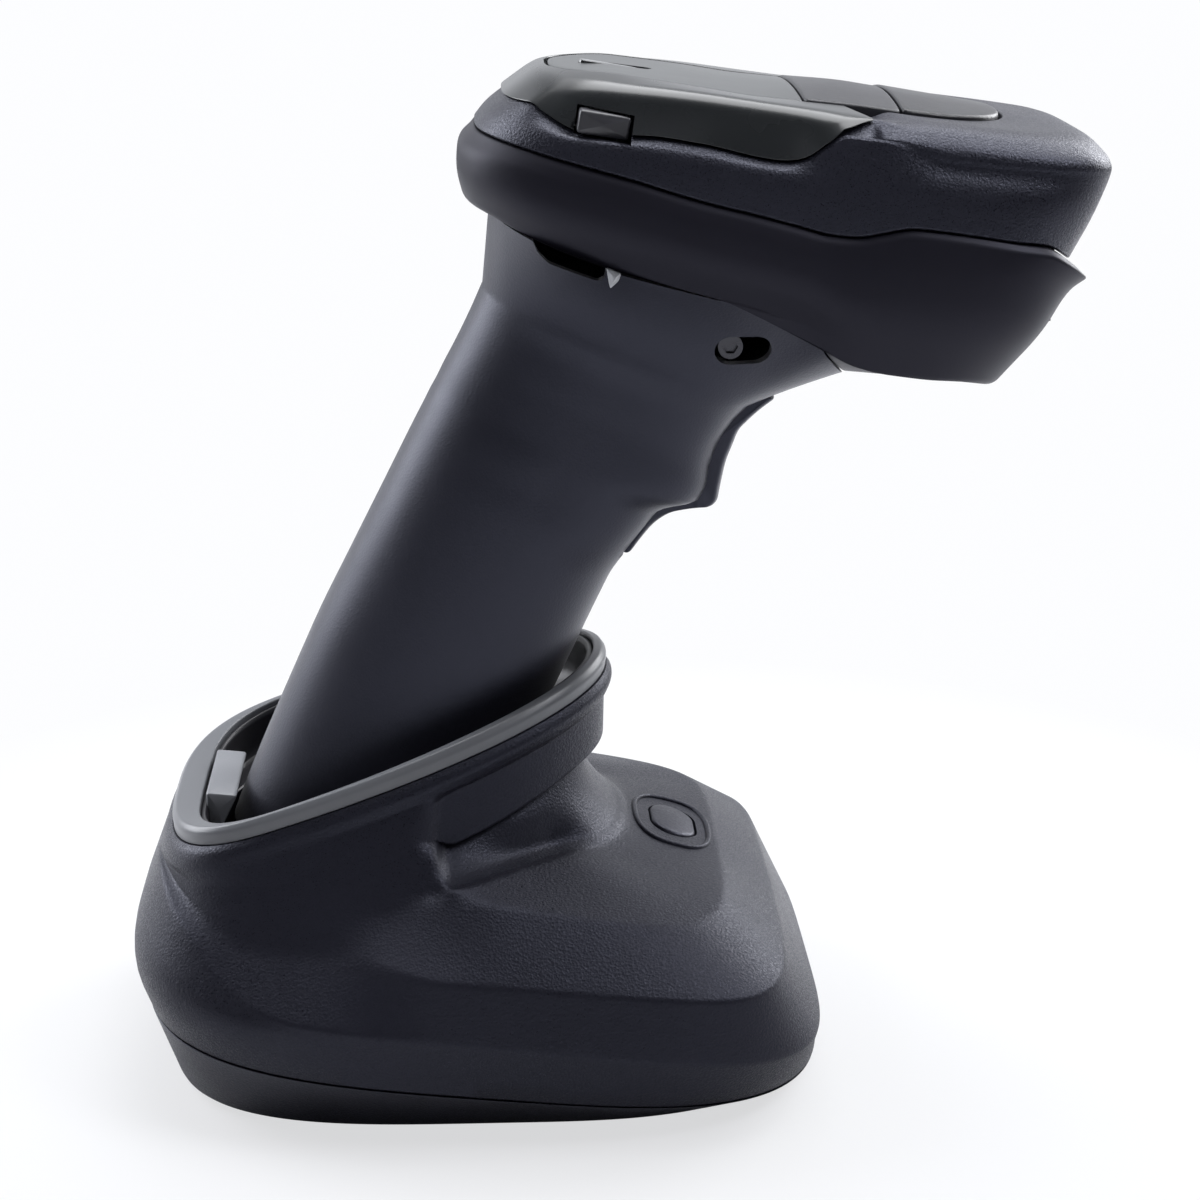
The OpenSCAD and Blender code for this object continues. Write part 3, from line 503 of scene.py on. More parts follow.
# grain: bump strength, noise scale, depth. speckle: fine change in roughness. ripple: strength
# of broad waves. streaks: noise scale along x, y, z. wear: lightening of the convex edges.
# color_vary and rough_vary: cloudy change either way, the colour's as a share.
LOOKS = {
    "grained_shell": dict(
        color=(0.0062, 0.0060, 0.0098), rough=0.42, grain=(0.7, 4200, 0.00014),
        color_vary=0.15, rough_vary=0.05, wear=0.25, speckle=0.2, tint=COOL),
    "cradle_grain": dict(
        color=(0.0062, 0.0060, 0.0098), rough=0.46, grain=(0.7, 4000, 0.00014),
        color_vary=0.15, rough_vary=0.05, wear=0.2, speckle=0.2, tint=COOL, specular=0.36),
    "bumper_rubber": dict(
        color=(0.0058, 0.0054, 0.0088), rough=0.5, grain=(0.12, 5000, 0.00006),
        color_vary=0.1, rough_vary=0.05, wear=0.2, tint=(0.8, 0.8, 1.0), specular=0.3),
    "grip_plastic": dict(
        color=(0.0092, 0.0092, 0.0142), rough=0.44, grain=(0.38, 4200, 0.0001),
        rough_vary=0.05, wear=0.1, sheen=0.1, tint=COOL),
    "gloss_black": dict(
        color=(0.016, 0.018, 0.0195), rough=0.27, color_vary=0.1, rough_vary=0.03,
        coat=0.25, coat_rough=0.16, ripple=0.03),
    "satin_grey": dict(
        color=(0.05, 0.053, 0.055), rough=0.34, grain=(0.2, 4200, 0.00006),
        color_vary=0.08, rough_vary=0.04, wear=0.2),
    "ring_grey": dict(
        color=(0.112, 0.116, 0.126), rough=0.36, grain=(0.12, 4200, 0.00005),
        color_vary=0.06, rough_vary=0.04, wear=0.1),
    "cup_black": dict(color=(0.010, 0.0095, 0.0125), rough=0.4, grain=(0.2, 4200, 0.00008)),
    "pad_light": dict(
        color=(0.17, 0.175, 0.19), rough=0.38, grain=(0.15, 4200, 0.00006), wear=0.2),
    "button_grey": dict(
        color=(0.04, 0.04, 0.046), rough=0.33, grain=(0.2, 4200, 0.00005), wear=0.3),
    "button_plastic": dict(
        color=(0.009, 0.009, 0.0135), rough=0.4, grain=(0.4, 2600, 0.00016),
        wear=0.3, speckle=0.1, tint=(0.78, 0.8, 1.0)),
    "trigger_plastic": dict(
        color=(0.0085, 0.0085, 0.013), rough=0.45, grain=(0.25, 4600, 0.00008),
        wear=0.15, sheen=0.1, tint=COOL),
    "base_plastic": dict(
        color=(0.0062, 0.0060, 0.0092), rough=0.42, grain=(0.5, 4000, 0.00014),
        wear=0.15, speckle=0.12, tint=(0.8, 0.82, 1.0)),
    "pad_dark": dict(
        color=(0.015, 0.015, 0.0195), rough=0.4, grain=(0.35, 4200, 0.00012), wear=0.15),
    "insert_black": dict(
        color=(0.009, 0.009, 0.0125), rough=0.36, grain=(0.35, 4200, 0.00012), wear=0.15),
    "clip_grey": dict(color=(0.42, 0.43, 0.45), rough=0.35, grain=(0.1, 4200, 0.00005)),
    "bezel_black": dict(color=(0.010, 0.010, 0.012), rough=0.35, grain=(0.2, 3800, 0.00008)),
    "window_glass": dict(
        color=(0.055, 0.006, 0.010), rough=0.06, coat=0.7, coat_rough=0.02,
        color_vary=0.05, rough_vary=0.02, alpha=0.82, specular=0.6),
    "lens_glass": dict(
        color=(0.02, 0.018, 0.06), rough=0.05, coat=1.0, coat_rough=0.02, rough_vary=0.02),
    "led_white": dict(color=(0.72, 0.7, 0.6), rough=0.25, coat=0.6, rough_vary=0.04),
    "aimer_red": dict(color=(0.5, 0.05, 0.035), rough=0.15, coat=0.8, rough_vary=0.04),
    "indicator_clear": dict(color=(0.02, 0.022, 0.022), rough=0.14, coat=0.7, rough_vary=0.05),
    "circuit_board": dict(
        color=(0.012, 0.085, 0.035), rough=0.35, coat=0.3, ripple=0.3, color_vary=0.3),
    "switch_plastic": dict(color=(0.05, 0.05, 0.055), rough=0.4, grain=(0.2, 2600, 0.00012)),
    "steel": dict(
        color=(0.55, 0.55, 0.56), rough=0.28, metallic=1.0, color_vary=0.06,
        streaks=(900, 900, 60)),
    "dark_steel": dict(
        color=(0.09, 0.09, 0.1), rough=0.3, metallic=1.0, color_vary=0.06,
        streaks=(900, 900, 60)),
    "spring_steel": dict(
        color=(0.6, 0.6, 0.62), rough=0.22, metallic=1.0, color_vary=0.05,
        streaks=(600, 600, 600)),
    "contact_gold": dict(
        color=(0.85, 0.62, 0.25), rough=0.22, metallic=1.0, color_vary=0.06,
        streaks=(600, 600, 200)),
    "foot_rubber": dict(color=(0.014, 0.014, 0.014), rough=0.75, grain=(0.5, 1500, 0.0002)),
    "socket_shell": dict(
        color=(0.3, 0.3, 0.31), rough=0.3, metallic=1.0, streaks=(300, 1200, 300)),
    "battery_wrap": dict(
        color=(0.03, 0.06, 0.16), rough=0.3, coat=0.4, ripple=0.1, color_vary=0.2),
}
MATERIALS = {name: material(name, **look) for name, look in LOOKS.items()}

# ---------- cradle shell ----------
RIM_SECTION = [20.4, -53.2, 29.5, -32, 2.15, 2.9]
FOOT_SECTION = [48.4, -53.6, 39.7, 0, 3.4, 3.3]
REAR_EXTRA = 2.8 * turn(128, 170)        # the ring is wider at the back
RIM_INNER = 2.6 + REAR_EXTRA
LIP = 0.3                                # chamfer at the top of the shell


def ring(inset, dz):
    """Loop along the sloping rim, moved inwards and raised."""
    return cradle_loop(RIM_SECTION, 68.8, 45.2, inset, dz)


# loops up the outside, from the base plate's seam to the rim
seam = cradle_loop([55.5, -57.6, 47.1, 1, 3.2, 3.3], 3.4, 15.4)
flank = cradle_loop([55.0, -60.3, 47.7, 1, 3.9, 3.4], 8, 24)
collar = ring(mix(0.1, -1.6, turn(40, 150)), -6.6)
collar_top = ring(mix(-0.75, -1.0, turn(20, 120)), -4.6)
rim_seat = ring(0, -3)
crest = mix(0.24, 0.9, turn(120, 162))   # the side's lower crease climbs round the rear corner
rear_hollow = 1 - turn(142, 172)


def sag(loop, drop):
    """Loop lowered towards its sides."""
    return loop - Z * (drop * (loop[:, 1:2] / 40) ** 2)


def rear(f):
    """Rear surface between the crest (0) and the collar (1)."""
    u = crest + (1 - crest) * f
    return inward(mix(flank, collar, u), 2.1 * rear_hollow * (0.35 + 0.65 * (1 - f)), 0)


crease = cradle_loop([55.1, -58.0, 48.1, 1, 4.5, 3.2], 11.9, 26.0)
crease = mix(crease, mix(flank, collar, crest), turn(112, 138))
shoulder = sag(cradle_loop([48.0, -53, 45.9, 1, 6.6, 3], 27.1, 38.0), 3.0)
shoulder = mix(shoulder, rear(0.2), turn(84, 114))
deck = sag(cradle_loop([38.8, -50, 36.8, 1, 5.2, 3], 34.1, 49.5), 3.2)
deck = mix(deck, rear(0.4), turn(70, 100))

cove = turn(26, 42)                      # the scoop beside the neck, with a crest outside it
cove_end = turn(79, 85)                  # the short wall at the scoop's rear end
deck_edge = cradle_loop([24, -48, 26, -10, 2.4, 3], 38.6, 42)
neck = cradle_loop([17, -48, 24.5, -14, 2.4, 3], 46.0, 43)
# cove radius from the cradle's axis, by angle from the front
cove_radius = table([
    [0, 36], [25, 35.8], [31, 34.8], [42, 33.0], [55, 32.2], [65, 33.0], [76, 34.9], [82, 35.6],
    [180, 36],
])(FROM_FRONT)


def cove_loop(front, radius, z, rear_part):
    """Loop in three parts: front, the cove's arc, and the rear surface."""
    return mix(mix(front, round_loop(radius, z), cove), rear(rear_part), cove_end)


cove_edge = cove_loop(deck_edge, cove_radius, 40.0, 0.5)
cove_wall = cove_loop(mix(deck_edge, neck, 0.16), cove_radius - 1.6, 39.9, 0.56)
cove_floor_front = mix(deck_edge, neck, 0.4) - np.array([0, 0, 0.8])
cove_floor = cove_loop(cove_floor_front, cove_radius - 4.6, 40.7, 0.62)
neck = mix(neck, rear(0.7), cove_end)
lip_part = 1 - turn(76, 92)              # the overhanging lip runs out on the side
lip_under = ring(mix(0.9, -0.6, turn(20, 80)), mix(-15.2, -16.2, turn(20, 75)))
lip_under = mix(mix(collar, neck, 0.6), lip_under, lip_part)
lip_root = inward(mix(lip_under, neck, 0.22), 3.0 - 0.8 * turn(20, 80), 0.2)
lip_root = mix(mix(collar, neck, 0.8), lip_root, lip_part)
lip_face = ring(mix(0.75, 0.35, turn(40, 90)), -7.3)
lip_face = mix(mix(collar, neck, 0.25), lip_face, lip_part)

back = turn(80, 104)
outer = rounded([
    (seam + Z * GAP, 0),
    (flank, mix(2.5, 4.5, turn(90, 120))),
    (crease, 0.6),
    (shoulder, mix(0.7, 1.4, turn(80, 120))),
    (deck, mix(0.8, 6, turn(70, 112))),
    (cove_edge, mix(mix(6, 0.6, turn(30, 50)), 3, cove_end)),
    (cove_wall, mix(mix(8, 0.8, cove), 3, cove_end)),
    (cove_floor, mix(6, 5, cove)),
    (neck, mix(3, 6, back)),
    (lip_root, mix(0.8, 6, back)),
    (lip_under, mix(0.6, 6, back)),
    (lip_face, mix(0.5, 5, back)),
    (collar, mix(0.35, 3, turn(108, 135))),
    (collar_top, 1.2),
    (rim_seat, 0),
])
outer[-1] = rim_seat - Z * LIP
bottom_edge = [inward(seam + Z * GAP, 0.3, 0.0), seam + Z * GAP + Z * 0.3]
top_edge = [ring(LIP, -3), ring(RIM_INNER, -3), ring(RIM_INNER, -4.8)]
inner = [
    inward(collar, CRADLE_WALL - 0.2, -2),
    inward(lip_under, CRADLE_WALL, -0.6),
    inward(neck, CRADLE_WALL + 0.8, -0.4),
    inward(cove_edge, CRADLE_WALL + 0.8, -1.6),
    inward(deck, CRADLE_WALL, -CRADLE_WALL),
    inward(shoulder, CRADLE_WALL + 0.4, -CRADLE_WALL + 0.6),
    inward(crease, CRADLE_WALL + 0.2, -1),
    inward(flank, CRADLE_WALL, -0.6),
    inward(seam, CRADLE_WALL, GAP),
]
cradle_rows = bottom_edge + densify(outer[1:], 1.6) + top_edge + inner
cradle = shell("cradle_shell_skin", cradle_rows, angle=38)
dress(cradle, "cradle", "cradle_shell", "grained_shell", look="cradle_grain")

# ---------- page button ----------
PAGE_BUTTON = np.array([31, 0, 34.9])
DECK_FORWARD, DECK_UP = tilted(20 * DEG)


def page_frame(depth):
    return PAGE_BUTTON - DECK_UP * depth, DECK_FORWARD, Y, DECK_UP


cut(cradle, [prism(pill(8.5, 12.5), (-9, 8), page_frame(0))], angle=38)
page_cap = block("page_button_cap", pill(8, 12), height=2.75, edge=0.7, crown=0.35,
                 axes=page_frame(0.9), steps=4)
dress(page_cap, "page_button", "page_button", "button_plastic")
stem_loops = cylinder_loops(PAGE_BUTTON - DECK_UP * 23.4, DECK_UP, radius=1.5, height=21.6)
stem = shell("page_button_stem", stem_loops, wrap=False)
dress(stem, "page_button", None, "button_plastic")


def page_bead():
    """Raised bead round the page button, laid on the deck by casting rays down."""
    tree = BVHTree.FromObject(cradle, bpy.context.evaluated_depsgraph_get())
    path = []
    for k in range(96):
        a = k / 96 * 2 * math.pi
        c, s = math.cos(a), math.sin(a)
        r = (abs(c) ** 2.7 + abs(s) ** 2.7) ** (-1 / 2.7)
        p = PAGE_BUTTON + DECK_FORWARD * (6.7 * r * c + 0.3) + Y * (9.8 * r * s)
        above = Vector(((p[0] + SHIFT[0]) * MM, p[1] * MM, 0.06))
        hit = tree.ray_cast(above, Vector((0, 0, -1)))[0]
        path.append([hit.x * 1000 - SHIFT[0], hit.y * 1000, hit.z * 1000 + 0.02])
    return tube("cutter", path, 0.5, closed=True, sides=10)


cut(cradle, [page_bead()], operation="UNION", angle=38)

# ---------- cradle base plate ----------
BASE_SCREWS = [(38, 27), (38, -27), (-42, 24), (-42, -24)]
foot = cradle_loop(FOOT_SECTION, 0.8, 0.8)
floor_top = cradle_loop(FOOT_SECTION, 2.6, 2.6)
base = shell("cradle_base_skin", rounded([
    (inward(foot, 4, 0), 0),
    (foot, 1.6),
    (seam, 0.3),
    (inward(seam, CRADLE_WALL, 0), 0.3),
    (inward(floor_top, CRADLE_WALL - 0.6, 0), 0),
    (inward(floor_top, 6, 0), 0),
], steps=4), wrap=False)
dress(base, "cradle", "cradle_base_plate", "base_plastic")
base_cuts = []
for x, y in BASE_SCREWS:
    base_cuts.append(drill([x, y, -1], Z, 1.7, 8))
    base_cuts.append(drill([x, y, -1], Z, 3.0, 3.4))
base_cuts.append(box([-52, 0, 9.0], [16, 13.2, 5.2]))      # socket opening at the rear
cut(base, base_cuts)

# ---------- ring bezel ----------
bezel = shell("ring_bezel_skin", rounded([
    (ring(0.55, -2.9), 0.2),
    (ring(0.35, -0.9), 0.5),
    (ring(1.15, 0.15), 0.35),
    (ring(2.55 + REAR_EXTRA, 0.3), 0.4),
    (ring(RIM_INNER, -2.9), 0.1),
], steps=4, wrap=True))
dress(bezel, "cradle", "ring_bezel", "ring_grey")

# ---------- cup liner, which holds the foot of the grip ----------
CUP_SECTION = [20.8, -20.9, 17.2, 0, 2.2, 2.2]
CUP_GAP = 1.1
CUP_OUT = CUP_GAP + 1.5                  # outside of the cup's wall
CUP_FLOOR = -43                          # along the grip's axis
CUP_SLOT = [[-10, -3.2], [10, -3.2], [10, 3.2], [-10, 3.2]]


def cup_level(along, outset):
    x, y = superellipse(CUP_SECTION, ANGLES, -outset)
    return grip_point(along, x, y)


def cup_slope(outset, lift):
    """Loop on the cup's wall that runs parallel to the sloping rim."""
    x, y = superellipse(CUP_SECTION, ANGLES, -outset)
    return grip_point(-8.06 + 0.863 * x + lift, x, y)


cup = shell("cup_liner_skin", rounded([
    (cup_level(-44.6, CUP_GAP - 3), 0),
    (cup_level(-44.2, CUP_OUT - 1), 0),
    (cup_level(CUP_FLOOR, CUP_OUT), 0.4),
    (cup_slope(CUP_OUT, -12.4), 1),
    (ring(2.85 + REAR_EXTRA, -9.6), 0.5),
    (ring(2.75 + REAR_EXTRA, -0.6), 0.1),
    (ring(3.4 + REAR_EXTRA, -0.4), 0.2),
    (ring(3.8 + REAR_EXTRA, -1), 0.4),
    (ring(4.0 + REAR_EXTRA, -7.6), 2.5),
    (cup_slope(CUP_GAP, -10), 2.0),
    (cup_level(CUP_FLOOR, CUP_GAP - 0.2), 0.8),
    (cup_level(CUP_FLOOR, CUP_GAP - 4), 0),
], steps=4), wrap=False)
dress(cup, "cradle", "cup_liner", "cup_black")
cup_frame = (GRIP_ORIGIN, GRIP_FORWARD, Y, GRIP_UP)
cut(cup, [prism(outline_round(CUP_SLOT, 0.8), (-50, -40), cup_frame)])

# ---------- rear rest pad, a rounded wedge ----------
PAD_PROFILE = [[-46.9, 47.3], [-46.6, 41.2], [-44.3, 41.2], [-41.6, 46.7]]     # x, z
PAD_STATIONS = [(-10, 0.45), (-9.85, 0.18), (-9.5, 0), (9.5, 0), (9.85, 0.18), (10, 0.45)]  # y, inset
pad = outline_round(PAD_PROFILE, [0.7, 0.3, 0.3, 0.8], 4)
pad_loops = [layer(inset_outline(pad, inset), y, SIDE_VIEW) for y, inset in PAD_STATIONS]
rest_pad = shell("rear_rest_pad_block", pad_loops, wrap=False)
dress(rest_pad, "cradle", "rear_rest_pad", "pad_light")

# ---------- head: heights along x ----------
LOW_Z = table([               # underside of the bumper
    [-4, 144.8], [0.6, 143.8], [2.8, 143.0], [8.7, 140.6], [19.7, 136.8], [32.4, 133.3],
    [47.4, 129.3], [50, 128], [54, 124.3], [57, 122.8], [62.7, 121.5], [70.4, 120.8],
    [76, 120.8], [90, 121.5],
])
SEAM_Z = table([              # seam between the bumper and the upper shell
    [-4, 156.2], [0, 155.6], [6.1, 154.3], [11.9, 152.9], [17.8, 151.5], [23.6, 150],
    [29.5, 148.2], [35.4, 146.6], [41.3, 145.2], [47.3, 143.6], [51.8, 142.4], [56.2, 142],
    [60, 142.6], [64, 143.2], [68.1, 142.8], [74.1, 141.9], [80.1, 140.8], [85, 139.9],
    [89.4, 137.1], [93.3, 134], [97, 132.6],
])
SHOULDER_Z = table([          # shoulder of the upper shell
    [3, 161.3], [8, 161.1], [14, 160.4], [30, 159.9], [57, 157.2], [70, 155.6], [80, 154.5],
    [88, 153.7], [93, 153.3], [98, 152.4],
])
COVER_Z = table([             # lower edge of the side gloss cover
    [3, 161.0], [7.6, 160.5], [9.6, 159.2], [15.5, 156.6], [25, 156.4], [32.4, 155.4],
    [45.8, 152.9], [48.1, 153.3], [51.7, 155.6], [57, 158.4], [62, 158.9],
])
BUMPER_LOW = [80.6, -2.6, 27.1, 42, 4.5, 3]
BUMPER_MID = [87.4, -3.8, 30.5, 45, 5, 3.2]
BUMPER_HIGH = [90.8, -3.4, 30.4, 45, 5, 3.2]
BUMPER_TOP = [94.0, -1.6, 29.6, 45, 5, 3.2]
GRIP_JOINT = [57.6, 1.4, 25.6, 28, 3, 3]
SHELL_FOOT = [91.0, -0.8, 29.3, 45, 5, 3.2]
SHELL_SIDE = [94.6, 0.9, 28.5, 45, 5, 3.2]
SHOULDER = [97.5, 3.4, 26.9, 45, 5, 3.2]
BROW = [94.8, 8.2, 24.1, 45, 4.5, 3.2]
TOP_OUTLINE = [82, 10.2, 17.2, 45, 3, 3.2]


def low_z(x, y):
    """Underside, lowered along the middle towards the nose."""
    return LOW_Z(x) - 6.2 * np.maximum(0, 1 - (y / 31) ** 2) * ease(42, 60, x)


def top_z(x, y):
    """Crowned top surface, which slopes down to the front."""
    slope = 168.3 - 0.172 * x - 1.5 * (1 - ease(8, 22, x))
    swell = 0.6 * ease(20, 36, x) + 2.2 * ease(38, 60, x)
    return slope + swell * np.maximum(0, 1 - (y / 24) ** 2)


def brow_z(x):
    lift = mix(mix(3.4, 2.0, ease(15, 60, x)), 1.8, ease(60, 95, x))
    return SHOULDER_Z(x) + lift


def cover_low_z(x):
    return np.minimum(COVER_Z(x), SHOULDER_Z(x) - 0.6)


def cover_depth(x):
    """Thickness of the side gloss cover, and of the recess it fills."""
    return mix(1.5, 0.35, ease(52, 60, x)) - 0.3 * ease(62.5, 67, x)


def head_section(section, angles, inset=0.0):
    """Section that widens slightly to the front."""
    x, y = superellipse(section, angles, inset)
    return x, y * (1 + 0.0018 * (x - 45))


def head_loop(section, inset, z):
    x, y = head_section(section, ANGLES, inset)
    return np.stack([x, y, z(x, y) + 0 * x], 1)


def joint_loop(angles, inset, dz):
    """Loop where the grip meets the underside of the head."""
    x, y = superellipse(GRIP_JOINT, angles, inset)
    return np.stack([x, y, low_z(x, y) - 2 * GAP + dz], 1)


# ---------- head bumper ----------
def seam_z(x, y):
    return SEAM_Z(x)


def chamfer_z(x, y):
    """Foot of the light chamfer along the bumper's top edge."""
    return SEAM_Z(x) - (1.0 - 0.8 * ease(84, 92, x))


def bumper_z(share):
    """Height function at a share of the way from the underside to the seam."""
    def z(x, y):
        return mix(low_z(x - mix(13, 0, share) * ease(70, 97, x), y), SEAM_Z(x), share)
    return z


top_inset = 0.7 + 2.9 * turn(30, 5)
bumper = shell("head_bumper_skin", rounded([
    (joint_loop(ANGLES, WALL, 2 * GAP), 0),
    (joint_loop(ANGLES, -0.3, 2 * GAP), 0.3),
    (head_loop(BUMPER_LOW, 0, low_z), 1.4),
    (head_loop(BUMPER_MID, 0, bumper_z(0.38)), 4.0),
    (head_loop(BUMPER_HIGH, 0, bumper_z(0.75)), mix(1.5, 5, turn(150, 90))),
    (head_loop(BUMPER_TOP, 0, chamfer_z), 0.5),
    (head_loop(BUMPER_TOP, top_inset, seam_z), 0.3),
    (head_loop(BUMPER_TOP, WALL + top_inset - 0.7, seam_z), 0),
    (head_loop(BUMPER_HIGH, WALL + 0.4, bumper_z(0.75)), 0),
    (head_loop(BUMPER_MID, WALL + 0.6, bumper_z(0.45)), 0),
    (head_loop(BUMPER_LOW, 3, lambda x, y: low_z(x, y) + WALL + 0.6), 0),
    (joint_loop(ANGLES, WALL + 0.8, 2 * GAP + WALL), 0),
    (joint_loop(ANGLES, WALL + 0.8, 2 * GAP), 0),
], steps=6, wrap=True), angle=28)
dress(bumper, "scanner", "head_bumper", "bumper_rubber")
cut(bumper, [box([93.5, 0, 138.9], [25, 38.2, 24])], angle=28)     # window opening


# ---------- head upper shell ----------
def side_loop(section, inset, share, dz=0):
    """Loop at a share of the way from the seam to the shoulder."""
    return head_loop(section, inset, lambda x, y: mix(SEAM_Z(x), SHOULDER_Z(x), share) + dz)


def top_loop(inset, dz):
    return head_loop(TOP_OUTLINE, inset, lambda x, y: top_z(x, y) + dz)


def brow_inside_z(x, y):
    return brow_z(x) + 1.0 * ease(84, 93, x) * np.maximum(0, 1 - (y / 22) ** 2) - 2.6


shoulder_x = head_section(SHOULDER, ANGLES)[0]
ledge_z = cover_low_z(shoulder_x)
bare = ease(60, 70, shoulder_x)          # forward of the side cover the shoulder is a plain arc
chamfer = 0.45 * (1 - bare)


def ledge(inset, dz):
    x, y = head_section(SHOULDER, ANGLES, inset)
    return np.stack([x, y, ledge_z + dz], 1)


brow_x = head_section(BROW, ANGLES)[0]
brow_inset = cover_depth(brow_x) + 1.3 * ease(60, 70, brow_x)
brow = head_loop(
    BROW, brow_inset,
    lambda x, y: brow_z(x) - 0.3 * cover_depth(x) + 0.35 * ease(60, 70, x))
recess_top = head_loop(
    TOP_OUTLINE, 0, lambda x, y: top_z(x, y) - mix(1.5, 0.02, ease(58, 62, x)))


def side_button_openings():
    return [box([18.5, s * 21.1, 158.1], [8.5, 10, 4.2], HEAD_PITCH) for s in (-1, 1)]


upper = shell("head_upper_skin", rounded([
    (side_loop(SHELL_FOOT, WALL, 0, GAP), 0),
    (side_loop(SHELL_FOOT, 0.3, 0, GAP), 0.15),
    (side_loop(SHELL_FOOT, 0.0, 0, GAP + 0.3), 0.15),
    (side_loop(SHELL_SIDE, 0, 0.5), 3),
    (ledge(0.3 * bare, -chamfer - 2.9 * bare), mix(0.1, 3.0, bare)),
    (ledge(chamfer + 0.15 * bare, -1.3 * bare), mix(0.1, 3.0, bare)),
    (ledge(cover_depth(shoulder_x) + 0.95 * bare, 0.06 + 0.3 * bare), mix(0.0, 3, bare)),
    (brow, mix(0.5, 5, bare)),
    (recess_top, 0.25),
    (top_loop(0.4, -1.62), 0),
    (top_loop(3, -3.8), 0),
    (head_loop(BROW, 3.4, brow_inside_z), 0),
    (side_loop(SHOULDER, 3.8, 0.9), 0),
    (side_loop(SHELL_SIDE, 2.6, 0.5), 0),
], wrap=True))
dress(upper, "scanner", "head_upper_shell", "grained_shell")
cut(upper, [box([93.5, 0, 137.0], [25, 38.2, 20.2])] + side_button_openings())

# ---------- side gloss cover, a band from one side round the back to the other ----------
COVER_ANGLES = 75 + np.arange(200) * 210.0 / 199


def cover_row(section, inset, z):
    """Open row; inset takes the outer x, z takes the outer x and the row's own x and y."""
    outer_x = head_section(section, COVER_ANGLES)[0]
    x, y = head_section(section, COVER_ANGLES, inset(outer_x))
    return np.stack([x, y, z(outer_x, x, y)], 1)


def cover_foot_z(outer_x, x, y):
    return cover_low_z(outer_x) + 0.3


cover_low = cover_row(SHOULDER, lambda a: 0, cover_foot_z)
cover_brow = cover_row(BROW, lambda a: 0, lambda a, x, y: brow_z(x))
cover_top = cover_row(TOP_OUTLINE, lambda a: 0.05, lambda a, x, y: top_z(x, y))
inner_low = cover_row(SHOULDER, lambda a: cover_depth(a) - 0.15, cover_foot_z)
inner_brow = cover_row(
    BROW, lambda a: cover_depth(a) - 0.2,
    lambda a, x, y: brow_z(x) - 0.25 * cover_depth(a) + 0.15)
inner_top = cover_row(
    TOP_OUTLINE, lambda a: 0.05,
    lambda a, x, y: top_z(x, y) - mix(1.3, 0.3, ease(40, 60, x)))
taper = 0.93 * ease(51.5, 60.5, cover_low[:, 0])       # the cover runs out in a slanted point
cover_low = mix(cover_low, cover_brow, taper)
inner_low = mix(inner_low, inner_brow, taper)
cover_rows = rounded([
    (cover_low, 0.25), (cover_brow, 2.6), (cover_top, 0.25),
    (inner_top, 0), (inner_brow, 0), (inner_low, 0),
], steps=6, wrap=True)
m, n = len(cover_rows), len(COVER_ANGLES)
cover_faces = grid_faces(m, n, True, False)
cover_faces.append(tuple(j * n for j in range(m)))
cover_faces.append(tuple(j * n + n - 1 for j in reversed(range(m))))
cover = make_mesh("side_gloss_skin", np.concatenate(cover_rows), cover_faces)
dress(cover, "scanner", "side_gloss_cover", "gloss_black")
cut(cover, side_button_openings())


# ---------- top pieces of the head ----------
def slab(name, x_rear, x_front, top, edge, softening):
    """Piece inside the top outline between two places along x; softening counts the passes."""
    x, y = head_section(TOP_OUTLINE, np.arange(1440) * 0.25, 0.6)
    keep = (x > x_rear + 0.1) & (x < x_front - 0.1) & (y > 0)
    left = sorted(zip(x[keep], y[keep]), reverse=True)
    if x_front < x.max():
        left = [(x_front, left[0][1])] + left
    if x_rear > x.min():
        left = left + [(x_rear, left[-1][1])]
    corners = np.array(left + [(a, -b) for a, b in reversed(left)])
    points = [corners[0]]
    for p in corners[1:]:
        if np.hypot(*(p - points[-1])) > 1e-3:
            points.append(p)
    # space the points evenly, then soften the corners
    ring_points = np.array(points + points[:1])
    lengths = np.concatenate([[0], np.cumsum(np.hypot(*np.diff(ring_points, axis=0).T))])
    stations = np.arange(260) * lengths[-1] / 260
    outline = np.stack([np.interp(stations, lengths, column) for column in ring_points.T], 1)
    for _ in range(softening):
        outline = 0.25 * np.roll(outline, 1, 0) + 0.5 * outline + 0.25 * np.roll(outline, -1, 0)
    centre = outline.mean(0)

    def level(flat, dz, k=1.0):
        flat = centre + (flat - centre) * k
        return np.column_stack([flat, top_z(flat[:, 0], flat[:, 1]) + dz])

    loops = [level(outline, -1.38)]
    for j in range(4):
        f = j / 3 * math.pi / 2
        side = inset_outline(outline, edge * (1 - math.cos(f)))
        loops.append(level(side, top - edge * (1 - math.sin(f))))
    inside = inset_outline(outline, edge)
    for k in (0.93, 0.85, 0.75, 0.65, 0.55, 0.45, 0.35, 0.25, 0.15, 0.06):
        loops.append(level(inside, top, k))
    return shell(name, loops, wrap=False)


INDICATOR = np.array([24.0, 0, 150])
plate = slab("top_plate_skin", 0, 48.9, top=-0.1, edge=0.3, softening=4)
dress(plate, "scanner", "top_plate", "satin_grey")
indicator_slot = pill(2.6, 11.5)[:, ::-1] - [5, 0]
cut(plate, [prism(indicator_slot, (5, 30), (INDICATOR, HEAD_FORWARD, Y, HEAD_UP))])
top_pad = slab("top_pad_skin", 49.1, 63.9, top=0.2, edge=0.4, softening=10)
dress(top_pad, "scanner", "top_pad", "pad_dark")
top_insert = slab("top_insert_skin", 64.1, 90, top=0.5, edge=0.5, softening=10)
dress(top_insert, "scanner", "top_insert", "insert_black")

